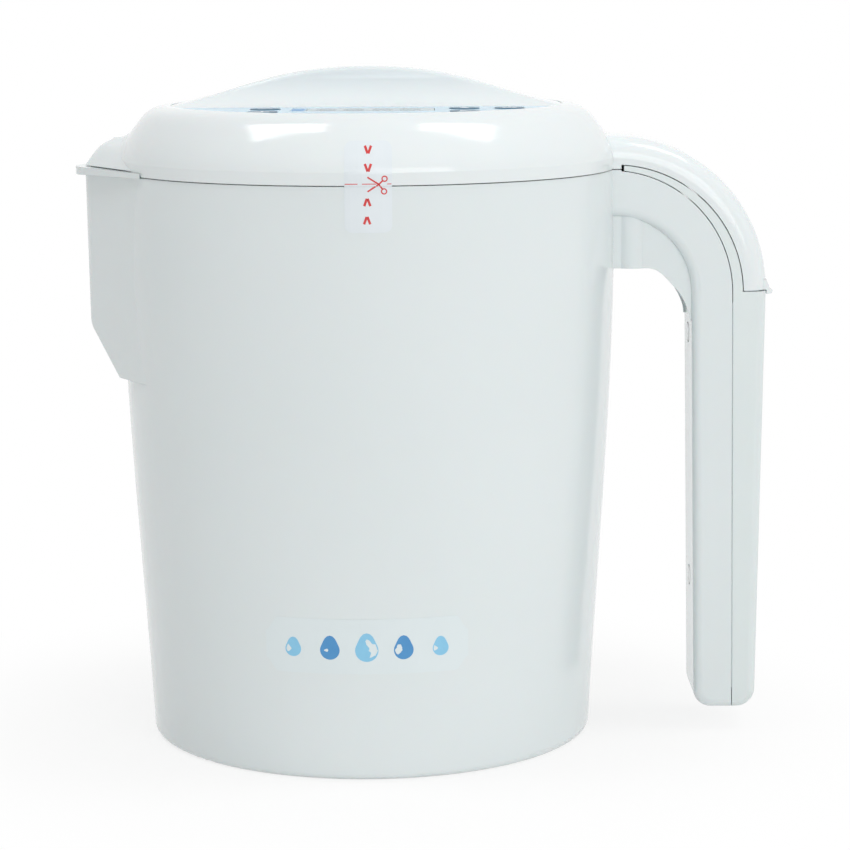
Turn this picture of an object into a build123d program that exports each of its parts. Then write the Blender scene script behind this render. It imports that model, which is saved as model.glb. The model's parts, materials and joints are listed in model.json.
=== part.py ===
# Water ionizer jug. Millimetres, +Z up, origin on the jug's axis at the plane it stands on.
# The spout points to -X, the handle to +X, and the decal side to -Y.
import os
from math import acos, cos, degrees, radians, sin, sqrt, tan

from build123d import *

os.makedirs("parts", exist_ok=True)

# Gaps between pieces
seam_gap = 0.3
part_gap = 0.25
running_clearance = 0.05
seat_clearance = 0.1

# Jug body
rim_height = 195.4
rim_radius = 84.6
high_height = 120.0  # where the straight upper part turns into the tapered lower part
high_radius = rim_radius - 1.2
low_height = 70.0
low_radius = rim_radius - 4.0
foot_radius = rim_radius - 8.1
foot_rounding = 2.5
jug_wall = 2.8
jug_floor = 3.2
base_recess_depth = 1.0
base_recess_outer = foot_radius - 14.5
base_recess_inner = 26.0
outside_reach = 2 * rim_radius  # well past every piece, for cuts that go right through

# Flange round the spout's mouth
lip_height = rim_height + 1.5
lip_thickness = 2.7
lip_low = lip_height - lip_thickness
lip_rise = 0.9  # by how much its underside comes up towards the jug
lip_overhang = 3.3
lip_wall_angle = 34.2
lip_end_x = 74.0

# Pouring spout, a blunt wedge in plan
spout_reach = rim_radius + 12.2
spout_nose_radius = 11.0
spout_wall_angle = 31.1  # between a side wall's normal and the -X axis
spout_draft = 0.7  # degrees by which its walls lean in downwards
spout_wall = 2.4
spout_toe_drop = 54.1  # from the lip down to where the nose line turns in
spout_toe_x = spout_reach - 0.9
spout_toe_height = lip_height - spout_toe_drop
spout_heel_x = spout_reach - 12.5  # where the underside runs into the jug
spout_heel_height = spout_toe_height - 16.5
spout_toe_rounding = 7.0
spout_open_top = lip_height + 20.0

# Handle: an arch over the finger gap, then a grip that hangs free
arch_outer_radius = 43.9
arch_thickness = 17.3
arch_inner_radius = arch_outer_radius - arch_thickness
arch_x = rim_radius - 0.6
arch_height = lip_height - arch_outer_radius
handle_root_x = arch_x - 1.7
handle_half_width = 16.0
handle_wall = 2.4
handle_rounding = 3.2
grip_lean = 0.8  # degrees
grip_foot_height = 7.8
grip_back_reach = 8.1  # how far the grip's back stands out past the arch
grip_back_top_x = arch_x + arch_outer_radius + grip_back_reach
grip_back_top_height = arch_height + 0.7
grip_back_foot_x = grip_back_top_x - 2.2
grip_front_corner = 6.0
grip_back_corner = 6.5
cover_seam_shift = 1.8  # the seam's arc is centred this far towards the jug
cover_seam_radius = arch_outer_radius - cover_seam_shift
cover_thickness = 8.1
cover_seam_foot_x = grip_back_foot_x - cover_thickness
cover_start_x = arch_x + 2.3
cover_notch = 0.9

# Contact pins and the sleeves they plug into
contact_x = arch_x + 6.2
contact_spacing = 15.4
contact_pin_radius = 2.0
contact_pin_length = 28.3
contact_seat_drop = 10.9  # from the arch's top down to the tubes' top
sleeve_wall = 1.35

# Stiffening webs and socket tubes under the arch
web_inner = 11.0
web_outer = 13.0
web_rise = 8.6
web_height = arch_height + web_rise
# the webs' lower edge, as shares of the arch's inner radius
web_curve = ((0.451, 0.0), (0.699, 0.154), (0.865, 0.35), (0.962, 0.549), (0.985, 0.68))
tube_radius = 6.4
tube_top = lip_height - contact_seat_drop
tube_floor = 2.4
sleeve_top = tube_top + 4.0

# Lid shell
lid_low = rim_height + seam_gap
lid_radius = rim_radius + 0.4
lid_band_height = 4.0
lid_rise = 21.8
lid_top = lid_low + lid_rise
lid_shoulder = 16.0
lid_top_radius = lid_radius - lid_shoulder
# the dome's line between its band and its top, as shares of the shoulder and of the rise
lid_dome_shares = ((0.131, 0.4266), (0.444, 0.7615))
lid_dome_points = [(lid_radius - lid_shoulder * x, lid_low + lid_rise * z) for x, z in lid_dome_shares]
lid_wall = 2.4
panel_radius = lid_top_radius - 2.0
panel_recess = 0.6
roof_thickness = 2.4
recess_floor = lid_top - panel_recess
ceiling = recess_floor - roof_thickness

# Crest, the ridge by which the lid is lifted
crest_rise = 12.8
crest_height = lid_top + crest_rise
crest_mid_x = lid_top_radius * 0.4348
crest_mid_height = lid_top + crest_rise * 0.758
crest_low_x = lid_top_radius * 0.768
crest_low_height = lid_top + crest_rise * 0.242
crest_end_x = lid_top_radius * 1.0435
crest_end_height = lid_top - crest_rise * 0.094
crest_half_thickness = 4.5
crest_cove_radius = crest_height - recess_floor - 1.4
crest_rounding = 2.0
crest_wall = 2.3

# Hood over the spout
hood_low = lip_height + seam_gap
hood_radius = spout_nose_radius
hood_rise = 9.4
hood_ridge_height = hood_low + hood_rise
hood_side_points = ((2.4, 3.3), (4.4, 5.7), (6.8, 7.5), (9.4, 8.8))
hood_room_points = ((2.6, 0.0), (4.9, 3.1), (6.6, 5.0), (8.4, 6.3))
hood_blend = 6.0

# Tail of the lid over the arch
tail_low = grip_back_top_height + seam_gap
tail_thickness = 8.5
tail_radius = arch_outer_radius + tail_thickness
tail_rounding = 7.0
tail_inner_radius = arch_outer_radius + seam_gap
tail_root_x = arch_x - 10.0
tail_duct_low = arch_height + tail_inner_radius + 1.2
tail_duct_high = tail_duct_low + 3.4
tail_duct_root_x = arch_x - 6.0
tail_lip_reach = arch_x + tail_radius + 2.4
tail_lip_drop = 1.4
tail_lip_flare = 3.6
tail_lip_half_width = 13.0
tail_lip_corner = 4.0

# Lid base with its plug and gasket
base_plate_thickness = 2.2
base_plate_gap = 0.3
plug_radius = rim_radius - jug_wall - 0.9
plug_wall = 2.5
plug_depth = 9.2
gasket_height = 3.8
gasket_groove_depth = 1.3
gasket_drop = 7.1
gasket_low = lid_low - gasket_drop
gasket_reach = 0.45
lid_screw_inset = 10.9
lid_screw_circle = plug_radius - lid_screw_inset
lid_screw_count = 6
lid_screw_length = 13.0
screw_radius = 1.5
screw_head_radius = 3.0
screw_head_height = 2.2
screw_boss_radius = 3.8

# Keys, display and control board
key_radius = 5.0
key_gap = 0.2
key_proud = 0.25
key_flange = 1.2
key_flange_height = 1.1
key_travel = 0.5
# places on the panel, as shares of its radius
key_shares = ((-0.4925, -0.4627), (-0.4925, -0.7463), (0.4925, -0.4627), (0.4925, -0.7463), (0.7164, -0.4627))
key_places = [(panel_radius * x, panel_radius * y) for x, y in key_shares]
key_names = ("minus", "plus", "mode", "start", "power")
overlay_thickness = 0.25
overlay_edge_gap = 0.3
plunger_radius = 1.65
plunger_height = 2.2
plunger_seat = 1.2  # how far a plunger sits in its switch at rest
switch_size = 6.0
switch_height = 3.5
switch_bore_depth = plunger_seat + key_travel + 0.2
window_width = 42.0
window_depth = 18.0
window_x = 2.0
window_y = panel_radius * -0.5373
window_gap = 0.2
window_thickness = 2.95
board_thickness = 1.6
board_width = panel_radius * 1.5522
board_depth = panel_radius * 1.0448
board_y = panel_radius * -0.3134
board_corner = 6.0
post_radius = 3.0
post_inset = 6.0
post_x = board_width / 2 - post_inset
board_screw_radius = 1.25
board_screw_head_radius = 2.75
display_height = 5.1

# Parts under the control board, placed by shares of the panel's radius
relay_size = (19.0, 15.0, 8.0)
relay_place = (panel_radius * 0.388, panel_radius * -0.0373)
capacitor_radius = 4.0
capacitor_length = 20.0
capacitor_place = (panel_radius * 0.6119, panel_radius * -0.2388)
fuse_radius = 2.6
fuse_length = 20.0
fuse_place = (panel_radius * 0.3731, panel_radius * -0.597)
buzzer_radius = 6.0
buzzer_height = 6.5
buzzer_place = (panel_radius * -0.597, panel_radius * -0.6269)
sink_size = (34.0, 20.0, 7.2)
sink_place = (panel_radius * -0.3731, panel_radius * -0.0896)
sink_fin_count = 6
sink_fin_thickness = 1.5
rectifier_size = (16.0, 11.0, 3.5)
rectifier_place = (panel_radius * -0.3582, panel_radius * -0.3433)

# Acid water vessel inside the jug
vessel_width = 66.0
vessel_depth = 32.0
vessel_corner = 8.0
vessel_wall = 2.0
vessel_low = jug_floor + seam_gap
vessel_drop = 19.4
vessel_top = rim_height - vessel_drop
vessel_rim = 3.0
vessel_rim_height = 3.0
vessel_window_width = 44.0
vessel_window_low = 32.0
vessel_window_drop = 46.0
vessel_window_high = vessel_top - vessel_window_drop
diaphragm_thickness = 0.8
diaphragm_margin = 6.0
clip_thickness = 1.6
clip_rim = 8.0
collar_wall = 2.0
floor_collar_height = 6.0

# Electrodes
stud_radius = 2.0
stud_top = lid_low + 7.3
collar_radius = 4.2
collar_height = 2.0
seal_thickness = 0.6
boss_radius = 6.0
boss_height = 5.7
electrode_drop = 45.7
electrode_top = lid_low - electrode_drop
anode_width = 40.0
anode_low = 45.0
anode_thickness = 1.5
cathode_width = 60.0
cathode_low = 40.0
cathode_thickness = 1.0
cathode_clearance = 9.0
cathode_y = vessel_depth / 2 + cathode_clearance
electrode_slot_width = 4.0
terminal_thickness = 0.8
terminal_tongue = 8.0
barrel_radius = 1.3
nut_width = 7.0
nut_height = 3.2

# Mains inlet in the back of the grip, and the leads
inlet_height = 22.0
inlet_width = 17.4
inlet_thick = 9.6
inlet_recess_width = 15.2
inlet_recess_thick = 7.4
inlet_recess_depth = 9.5
inlet_face_x = grip_back_foot_x - 0.2
inlet_depth = 11.6
inlet_step_x = inlet_face_x - inlet_depth
inlet_back_x = inlet_step_x - 3.5
inlet_block_width = 19.0
inlet_block_thick = 11.6
inlet_pin_radius = 1.2
inlet_pin_neck_radius = 1.0
inlet_pin_spacing = 8.6
inlet_pin_proud = 8.0
inlet_pin_root = 2.5
lead_radius = 1.1
thin_lead_radius = 0.8
handle_screw_heights = (52.0, arch_height - 15.0)
handle_screw_length = 14.0
handle_screw_sink = 3.4

beside_points = 9


def along_x(face, low, high):
    """Sweep a face drawn as (y, z) from x = low to x = high."""
    return extrude(Plane((low, 0, 0), x_dir=(0, 1, 0), z_dir=(1, 0, 0)) * face, amount=high - low)


def along_y(face, low, high):
    """Sweep a face drawn as (x, z) from y = low to y = high."""
    return extrude(Plane((0, high, 0), x_dir=(1, 0, 0), z_dir=(0, -1, 0)) * face, amount=high - low)


def along_z(face, low, high):
    """Sweep a face drawn as (x, y) from z = low to z = high."""
    return extrude(Plane((0, 0, low)) * face, amount=high - low)


def turned(face):
    """Turn a face drawn as (radius, z) about the Z axis."""
    return revolve(Plane.XZ * face, axis=Axis.Z)


def area(low, high):
    """A rectangle between two corners."""
    return Pos((low[0] + high[0]) / 2, (low[1] + high[1]) / 2) * Rectangle(high[0] - low[0], high[1] - low[1])


def rod(radius, low, high, x=0.0, y=0.0):
    """An upright cylinder."""
    return along_z(Pos(x, y) * Circle(radius), low, high)


def tube(outer, inner, low, high, x=0.0, y=0.0):
    """An upright hollow cylinder."""
    return along_z(Pos(x, y) * (Circle(outer) - Circle(inner)), low, high)


def block(size, place, low):
    """A box of the given size centred on place, standing on z = low."""
    return along_z(Pos(*place) * Rectangle(size[0], size[1]), low, low + size[2])


def beside(curve, distance):
    """A spline that runs beside a curve, on its left at the given distance."""
    points = []
    for i in range(beside_points):
        at = curve @ (i / (beside_points - 1))
        along = curve % (i / (beside_points - 1))
        points.append((at.X - distance * along.Y, at.Y + distance * along.X))
    return Spline(*points)


def rounded(width, depth, corner):
    """A rectangle with round corners."""
    return RectangleRounded(width, depth, corner)


def jug_side(inset):
    """The jug's side line, from the foot to the rim."""
    return Spline(
        (foot_radius - inset, foot_rounding),
        (low_radius - inset, low_height),
        (high_radius - inset, high_height),
        (rim_radius - inset, rim_height),
    )


def jug_outside():
    foot = CenterArc((foot_radius - foot_rounding, foot_rounding), foot_rounding, -90, 90)
    closing = Polyline((rim_radius, rim_height), (0, rim_height), (0, 0), (foot_radius - foot_rounding, 0))
    return turned(make_face(foot + jug_side(0) + closing))


def jug_inside():
    inset = jug_wall
    top = rim_radius - inset
    foot = foot_radius - inset
    closing = Polyline((top, rim_height), (0, rim_height), (0, foot_rounding), (foot, foot_rounding))
    return turned(make_face(jug_side(inset) + closing)) - rod(foot_radius, 0, jug_floor)


def spout_wedge(grow, wall_angle=spout_wall_angle):
    """The spout's plan, grown outwards all round."""
    centre = spout_nose_radius - spout_reach
    radius = spout_nose_radius + grow
    normal_x = -cos(radians(wall_angle))
    normal_y = sin(radians(wall_angle))
    reach = centre * normal_x + radius
    touch = (centre + radius * normal_x, radius * normal_y)
    root = (reach * normal_x, reach * normal_y)
    nose = ThreePointArc(touch, (centre - radius, 0), (touch[0], -touch[1]))
    sides = Polyline((touch[0], -touch[1]), (root[0], -root[1]), (-20, 0), root, touch)
    return make_face(nose + sides)


def spout_profile(inset):
    """The spout seen from the side, with its toe and its underside."""
    nose_x = spout_reach + seam_gap
    line = FilletPolyline(
        (-nose_x, spout_open_top),
        (-spout_toe_x, spout_toe_height),
        (-spout_heel_x, spout_heel_height),
        radius=spout_toe_rounding,
    )
    closing = Polyline(
        (-spout_heel_x, spout_heel_height),
        (-spout_reach / 3, spout_heel_height),
        (-spout_reach / 3, spout_open_top),
        (-nose_x, spout_open_top),
    )
    face = make_face(line + closing)
    return offset(face, -inset) if inset else face


def spout_solid(grow, high):
    wedge = Plane((0, 0, high)) * spout_wedge(grow)
    drop = high - spout_heel_height
    walls = extrude(wedge, amount=drop, dir=(0, 0, -1), taper=spout_draft)
    return walls & along_y(spout_profile(-grow), -rim_radius, rim_radius)


def spout_lip():
    """The flange round the spout's mouth, and the wall that carries it above the jug's rim."""
    flange = along_z(spout_wedge(lip_overhang, lip_wall_angle), lip_low, lip_height)
    plan = area((-outside_reach, -rim_radius), (-lip_end_x, rim_radius))
    flange = flange & along_z(plan, lip_low, lip_height)
    tip = (-spout_reach - lip_overhang, lip_low)
    below = Polyline(tip, (-lip_end_x, lip_low + lip_rise), (-lip_end_x, lip_low - lip_rise), tip)
    flange -= along_y(make_face(below), -rim_radius, rim_radius)
    wall = along_z(spout_wedge(0), rim_height, lip_height)
    return flange + wall - rod(lid_radius + seam_gap, rim_height, lip_height)


def handle_face():
    """The whole handle seen from the side: arch, grip and strip."""
    lean = radians(grip_lean)
    bend = (arch_x + arch_inner_radius * cos(lean), arch_height + arch_inner_radius * sin(lean))
    grip_foot_x = bend[0] + (bend[1] - grip_foot_height) * tan(lean)
    inner = CenterArc((arch_x, arch_height), arch_inner_radius, 90, grip_lean - 90)
    grip = FilletPolyline(
        bend,
        (grip_foot_x, grip_foot_height),
        (grip_back_foot_x, grip_foot_height),
        (grip_back_top_x, grip_back_top_height),
        radius=(grip_front_corner, grip_back_corner),
    )
    start_angle = degrees(acos((cover_start_x - arch_x) / arch_outer_radius))
    outer = CenterArc((arch_x, arch_height), arch_outer_radius, 0, start_angle)
    step = Polyline(
        (grip_back_top_x, grip_back_top_height),
        (arch_x + arch_outer_radius, grip_back_top_height),
        (arch_x + arch_outer_radius, arch_height),
    )
    top = Polyline(
        outer @ 1,
        (cover_start_x, rim_height),
        (handle_root_x, rim_height),
        (handle_root_x, arch_height + arch_inner_radius),
        (arch_x, arch_height + arch_inner_radius),
    )
    return make_face(inner + grip + step + outer + top)


def cover_seam():
    """The face on the jug's side of the seam between the jug's moulding and the rear cover."""
    centre_x = arch_x - cover_seam_shift
    start_angle = degrees(acos((cover_start_x - centre_x) / cover_seam_radius))
    arc = CenterArc((centre_x, arch_height), cover_seam_radius, 0, start_angle)
    rest = Polyline(
        arc @ 1,
        (cover_start_x, lip_height + 5),
        (handle_root_x / 2, lip_height + 5),
        (handle_root_x / 2, -5),
        (cover_seam_foot_x, -5),
        arc @ 0,
    )
    return make_face(arc + rest)


def on_side(edge, half_width):
    return abs(abs(edge.position_at(0.5).Y) - half_width) < 0.01


def handle_shell():
    face = handle_face()
    solid = along_y(face, -handle_half_width, handle_half_width)

    def is_outer_edge(edge):
        middle = edge.position_at(0.5)
        near_arch = sqrt((middle.X - arch_x) ** 2 + (middle.Z - arch_height) ** 2) < arch_inner_radius + 1
        on_grip = middle.Z < grip_back_top_height - 1
        return on_side(edge, handle_half_width) and (on_grip or (near_arch and middle.X > arch_x + 1))

    solid = fillet(solid.edges().filter_by(is_outer_edge), handle_rounding)
    hollow = along_y(
        offset(face, -handle_wall),
        handle_wall - handle_half_width,
        handle_half_width - handle_wall,
    )
    beyond_start = area((cover_start_x, -rim_radius), (outside_reach, rim_radius))
    return solid - (hollow & along_z(beyond_start, 0, lid_top))


def arch_webs():
    """Two thin webs under the arch, whose lower edge sweeps down to a point on the grip."""
    edge = [(arch_x + arch_inner_radius * x, web_height - arch_inner_radius * drop) for x, drop in web_curve]
    sweep = Spline(*edge, tangents=((1, -0.1), (0.05, -1)))
    tip = sweep @ 1
    left = arch_x - 4
    right = arch_x + arch_inner_radius + handle_wall
    corners = ((right, tip.Y), (right, rim_height), (left, rim_height), (left, web_height))
    below = make_face(sweep + Polyline(tip, *corners, sweep @ 0))
    sink = 0.7  # how far a web's edge runs into the wall that carries it
    lean = tan(radians(grip_lean))
    grip_x = arch_x + arch_inner_radius + (arch_height - tip.Y) * lean
    room = Pos(arch_x, arch_height) * Circle(arch_inner_radius + sink)
    room = room + area((arch_x, tip.Y - 5), (grip_x + sink, arch_height))
    web = below & room
    return along_y(web, -web_outer, -web_inner) + along_y(web, web_inner, web_outer)


def at_contacts(make):
    """Make the same thing at both contact places, as one group."""
    return [make(contact_x, side * contact_spacing / 2) for side in (-1, 1)]


def floor_collar():
    """A low wall on the jug's floor that keeps the vessel in the middle."""
    inner_x = vessel_width + 2 * seam_gap
    inner_y = vessel_depth + 2 * seam_gap
    corner = vessel_corner + seam_gap
    inner = rounded(inner_x, inner_y, corner)
    outer = rounded(inner_x + 2 * collar_wall, inner_y + 2 * collar_wall, corner + collar_wall)
    return along_z(outer - inner, jug_floor - 0.5, jug_floor + floor_collar_height)


def inlet_place(face):
    return Pos(0, inlet_height) * face


def jug_body(shell):
    body = jug_outside() + spout_solid(0, rim_height) + spout_lip()
    body += shell & along_y(cover_seam(), -rim_radius, rim_radius)
    body += arch_webs()
    for x, y in at_contacts(lambda x, y: (x, y)):
        body += rod(tube_radius, web_height, tube_top, x, y)
    for height in handle_screw_heights:
        body += screw_boss(height, grip_front_x(height) + handle_wall / 2, seam_x(height))
    body -= jug_inside()
    body -= spout_solid(-spout_wall, lip_height)
    body -= rod(base_recess_outer, 0, base_recess_depth) - rod(base_recess_inner, 0, base_recess_depth)
    body += floor_collar()
    for x, y in at_contacts(lambda x, y: (x, y)):
        bore = contact_pin_radius + running_clearance + sleeve_wall + seat_clearance
        body -= rod(bore, web_height + tube_floor, tube_top, x, y)
    half = handle_half_width - handle_wall
    way = area((cover_start_x, -half), (contact_x + 6, half))
    body -= along_z(way, sleeve_top, lid_top)
    for height in handle_screw_heights:
        body -= screw_way(height, arch_x + arch_inner_radius / 2, outside_reach)
        low = arch_x + arch_inner_radius / 2
        body -= screw_way(height, low, grip_front_x(height) + handle_screw_sink, screw_head_radius + 0.3)
    return body


def seam_x(height):
    top = arch_x - cover_seam_shift + cover_seam_radius
    return top + (cover_seam_foot_x - top) * (arch_height - height) / (arch_height + 5)


def grip_back_x(height):
    rise = (height - grip_foot_height) / (grip_back_top_height - grip_foot_height)
    return grip_back_foot_x + (grip_back_top_x - grip_back_foot_x) * rise


def grip_front_x(height):
    return arch_x + arch_inner_radius + (arch_height - height) * tan(radians(grip_lean))


def screw_boss(height, low, high):
    return along_x(Pos(0, height) * Circle(screw_boss_radius), low, high)


def screw_way(height, low, high, radius=screw_radius + running_clearance):
    return along_x(Pos(0, height) * Circle(radius), low, high)


def handle_rear_cover(shell):
    cover = shell - along_y(offset(cover_seam(), part_gap), -rim_radius, rim_radius)
    cover -= along_z(area((0, -rim_radius), (cover_start_x + cover_notch, rim_radius)), 0, lid_top)
    for height in handle_screw_heights:
        cover += screw_boss(height, seam_x(height) + part_gap, grip_back_x(height) - handle_wall / 2)
        tip = grip_front_x(height) + handle_screw_sink + handle_screw_length + 0.5
        cover -= screw_way(height, arch_x + arch_inner_radius, tip)
    opening = inlet_place(SlotOverall(inlet_width + 2 * part_gap, inlet_thick + 2 * part_gap))
    cover -= along_x(opening, inlet_step_x, outside_reach)
    for x, y in at_contacts(lambda x, y: (x, y)):
        cover -= rod(contact_pin_radius + 0.3, sleeve_top, lid_top, x, y)
    return cover


def handle_screws():
    screws = []
    for height in handle_screw_heights:
        seat = grip_front_x(height) + handle_screw_sink
        shank = screw_way(height, seat, seat + handle_screw_length, screw_radius)
        head = screw_way(height, seat - screw_head_height, seat, screw_head_radius)
        screws.append(shank + head)
    return screws


def mains_inlet():
    body = along_x(inlet_place(SlotOverall(inlet_width, inlet_thick)), inlet_step_x, inlet_face_x)
    body += along_x(inlet_place(Rectangle(inlet_block_width, inlet_block_thick)), inlet_back_x, inlet_step_x)
    recess = inlet_place(SlotOverall(inlet_recess_width, inlet_recess_thick))
    body -= along_x(recess, inlet_socket_floor(), inlet_face_x)
    for y in (-inlet_pin_spacing / 2, inlet_pin_spacing / 2):
        hole = Pos(y, inlet_height) * Circle(inlet_pin_neck_radius)
        body -= along_x(hole, inlet_socket_floor() - inlet_pin_root, inlet_face_x)
    return body


def inlet_socket_floor():
    return inlet_face_x - inlet_recess_depth


def inlet_pins():
    """Round pins, each held in the socket's floor by a thinner neck."""
    pins = []
    floor = inlet_socket_floor()
    for y in (-inlet_pin_spacing / 2, inlet_pin_spacing / 2):
        centre = Pos(y, inlet_height)
        neck = along_x(centre * Circle(inlet_pin_neck_radius), floor - inlet_pin_root, floor + seam_gap)
        pin = along_x(centre * Circle(inlet_pin_radius), floor + seam_gap, floor + inlet_pin_proud)
        pins.append(neck + pin)
    return pins


def contact_sleeve(x, y):
    bore = contact_pin_radius + running_clearance
    return tube(bore + sleeve_wall, bore, web_height + tube_floor + seat_clearance, sleeve_top, x, y)


def wire(points, radius):
    """A round lead along straight runs joined by arcs as large as the runs allow."""
    route = [Vector(*p) for p in points]
    bends = []
    for before, at, after in zip(route, route[1:], route[2:]):
        run = min((at - before).length, (after - at).length)
        turn = radians((at - before).get_angle(after - at))
        bends.append(0.45 * run / tan(turn / 2))
    path = FilletPolyline(*route, radius=bends)
    print("lead radii", [round(b, 1) for b in bends], "length", round(path.length, 1))
    start = Plane(origin=path @ 0, z_dir=path % 0)
    return sweep(start * Circle(radius), path=path)


def handle_lead(side):
    """A lead from the inlet up the grip and round the arch to a contact sleeve."""
    y = side * contact_spacing / 2
    foot_y = side * (inlet_block_width / 2 - 2.5)
    foot = inlet_height + inlet_block_thick / 2 + seat_clearance
    grip_x = (inlet_back_x + inlet_step_x) / 2
    sleeve_side = contact_x + contact_pin_radius + running_clearance + sleeve_wall + seat_clearance
    middle = (arch_inner_radius + arch_outer_radius) / 2
    bends = ((0, 0.965), (30.6, 0.975), (51.7, 1.03))
    points = [
        (grip_x + 0.2, foot_y, foot),
        (grip_x - 0.2, foot_y * 1.02, arch_height * 0.36),
        (grip_x - 0.8, foot_y * 1.1, arch_height * 0.6),
        (grip_x - 1.4, foot_y * 1.2, arch_height * 0.82),
    ]
    for angle, share in bends:
        out = middle * share * cos(radians(angle))
        points.append((arch_x + out, y, arch_height + middle * share * sin(radians(angle))))
    points += [((sleeve_side + points[-1][0]) / 2, y, tube_top + 2), (sleeve_side, y, tube_top + 2)]
    return wire(points, lead_radius)


def lid_dome():
    return Spline(
        (lid_radius, lid_low + lid_band_height),
        *lid_dome_points,
        (lid_top_radius, lid_top),
        tangents=((-0.2, 1), (-1, 0.12)),
    )


def lid_outside():
    dome = lid_dome()
    rest = Polyline(dome @ 1, (0, lid_top), (0, lid_low), (lid_radius, lid_low), dome @ 0)
    return turned(make_face(dome + rest)) - rod(panel_radius, recess_floor, lid_top)


def lid_inside():
    dome = beside(lid_dome(), lid_wall)
    rest = Polyline(dome @ 1, (0, (dome @ 1).Y), (0, lid_low), ((dome @ 0).X, lid_low), dome @ 0)
    return turned(make_face(dome + rest) & area((0, lid_low), (lid_radius, ceiling)))


def crest_bell():
    shoulder = [(crest_mid_x, crest_mid_height), (crest_low_x, crest_low_height)]
    right = [*shoulder, (crest_end_x, crest_end_height)]
    left = [(-x, z) for x, z in reversed(right)]
    return Spline(*left, (0, crest_height), *right)


def crest():
    """A bell-shaped ridge with coves on both faces."""
    bell = crest_bell()
    foot = recess_floor - roof_thickness / 2
    base = Polyline(bell @ 1, (crest_end_x, foot), (-crest_end_x, foot), bell @ 0)
    reach = crest_half_thickness + crest_cove_radius
    ridge = along_y(make_face(bell + base), -reach, reach)
    cove_top = recess_floor + crest_cove_radius
    for side in (-1, 1):
        cove = CenterArc((side * reach, cove_top), crest_cove_radius, -90, -90 * side)
        outside = Polyline(
            (side * crest_half_thickness, cove_top),
            (side * crest_half_thickness, cove_top + crest_cove_radius),
            (side * (reach + 5), cove_top + crest_cove_radius),
            (side * (reach + 5), recess_floor),
            (side * reach, recess_floor),
        )
        ridge -= along_x(make_face(cove + outside), -crest_end_x - 5, crest_end_x + 5)
    ridge = fillet(ridge.edges().filter_by(is_crest_edge), crest_rounding)
    return ridge & rod(crest_end_x, foot, crest_height)


def is_crest_edge(edge):
    """The edges between the ridge's top and its faces."""
    middle = edge.position_at(0.5)
    above_coves = abs(middle.X) < crest_mid_x and middle.Z > crest_mid_height + crest_rounding
    along_coves = crest_mid_x < abs(middle.X) < crest_low_x and middle.Z < crest_mid_height
    return above_coves or along_coves


def crest_hollow():
    bell = beside(crest_bell(), -crest_wall)
    end_x = (bell @ 1).X
    end_z = (bell @ 1).Y
    low = ceiling - 6
    face = make_face(bell + Polyline((end_x, end_z), (end_x, low), (-end_x, low), (-end_x, end_z)))
    face = face & area((-crest_low_x, ceiling - 1), (crest_low_x, crest_height))
    half = crest_half_thickness - crest_wall
    return along_y(face, -half, half)


def hood_side():
    """The hood's cross-section, from its open bottom to its ridge line."""
    base = (hood_radius, hood_low)
    flank = [(hood_radius - inward, hood_low + up) for inward, up in hood_side_points]
    roof = Spline(base, *flank, (0, hood_ridge_height), tangents=((-0.55, 0.8), (-1, 0)))
    return make_face(roof + Polyline(roof @ 1, (0, hood_low), roof @ 0))


def hood_room():
    """The cross-section of the space inside the hood."""
    flank = [(hood_radius - inward, hood_low + up) for inward, up in hood_room_points]
    top = hood_low + hood_room_points[-1][1]
    return make_face(Polyline((0, hood_low), *flank, (0, top), (0, hood_low)))


def along_spout(face):
    """A cross-section turned about the nose's centre and carried along both side walls."""
    centre = spout_nose_radius - spout_reach
    run = -centre * sin(radians(spout_wall_angle))
    form = Pos(centre, 0, 0) * turned(face)
    roots = []
    for side in (-1, 1):
        normal = (-cos(radians(spout_wall_angle)), side * sin(radians(spout_wall_angle)))
        plane = Plane((centre, 0, 0), x_dir=(*normal, 0), z_dir=(normal[1], -normal[0], 0))
        form += extrude(plane * face, amount=side * run)
        roots.append((centre + side * run * normal[1], -side * run * normal[0]))
    middle = make_face(Polyline((centre, 0), roots[0], (-20, 0), roots[1], (centre, 0)))
    return form + along_z(middle, hood_low, face.bounding_box().max.Y)


def hood_hollow():
    return along_spout(hood_room()) - rod(lid_radius - lid_wall / 2, lid_low, lid_top)


def tail_face(radius, inner, low):
    ring = Pos(arch_x, tail_low) * Circle(radius) - Pos(arch_x, arch_height) * Circle(inner)
    return ring & area((arch_x, low), (outside_reach, lid_top))


def tail():
    face = tail_face(tail_radius, tail_inner_radius, tail_low)
    face = face + area((tail_root_x, lid_low), (arch_x, tail_low + tail_radius))
    face = face + area((tail_root_x, lid_low), (cover_start_x, tail_duct_low))
    solid = along_y(face, -handle_half_width, handle_half_width)
    solid = fillet(solid.edges().filter_by(is_tail_edge), tail_rounding)
    return solid + tail_lip()


def tail_lip():
    """The tongue at the tail's end by which a thumb lifts it, flared out of the tail's back."""
    back = arch_x + tail_radius
    low = tail_low - tail_lip_drop
    root = tail_low + tail_lip_flare
    flare = Spline((back - 0.1, root), (back + 0.7, tail_low + 1.4), (tail_lip_reach - 0.8, tail_low - 0.1))
    nose = ThreePointArc(flare @ 1, (tail_lip_reach, tail_low - 0.8), (tail_lip_reach - 0.7, low))
    inner = grip_back_top_x + seam_gap
    inside = Polyline((inner, low), (inner, tail_low), (back - 1.5, tail_low), (back - 1.5, root))
    rest = Line(nose @ 1, inside @ 0) + inside + Line(inside @ 1, flare @ 0)
    tongue = along_y(make_face(flare + nose + rest), -tail_lip_half_width, tail_lip_half_width)
    length = 4 * tail_lip_corner
    plan = Pos(tail_lip_reach - length / 2, 0) * rounded(length, 2 * tail_lip_half_width, tail_lip_corner)
    return tongue & along_z(plan, low, root)


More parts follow.
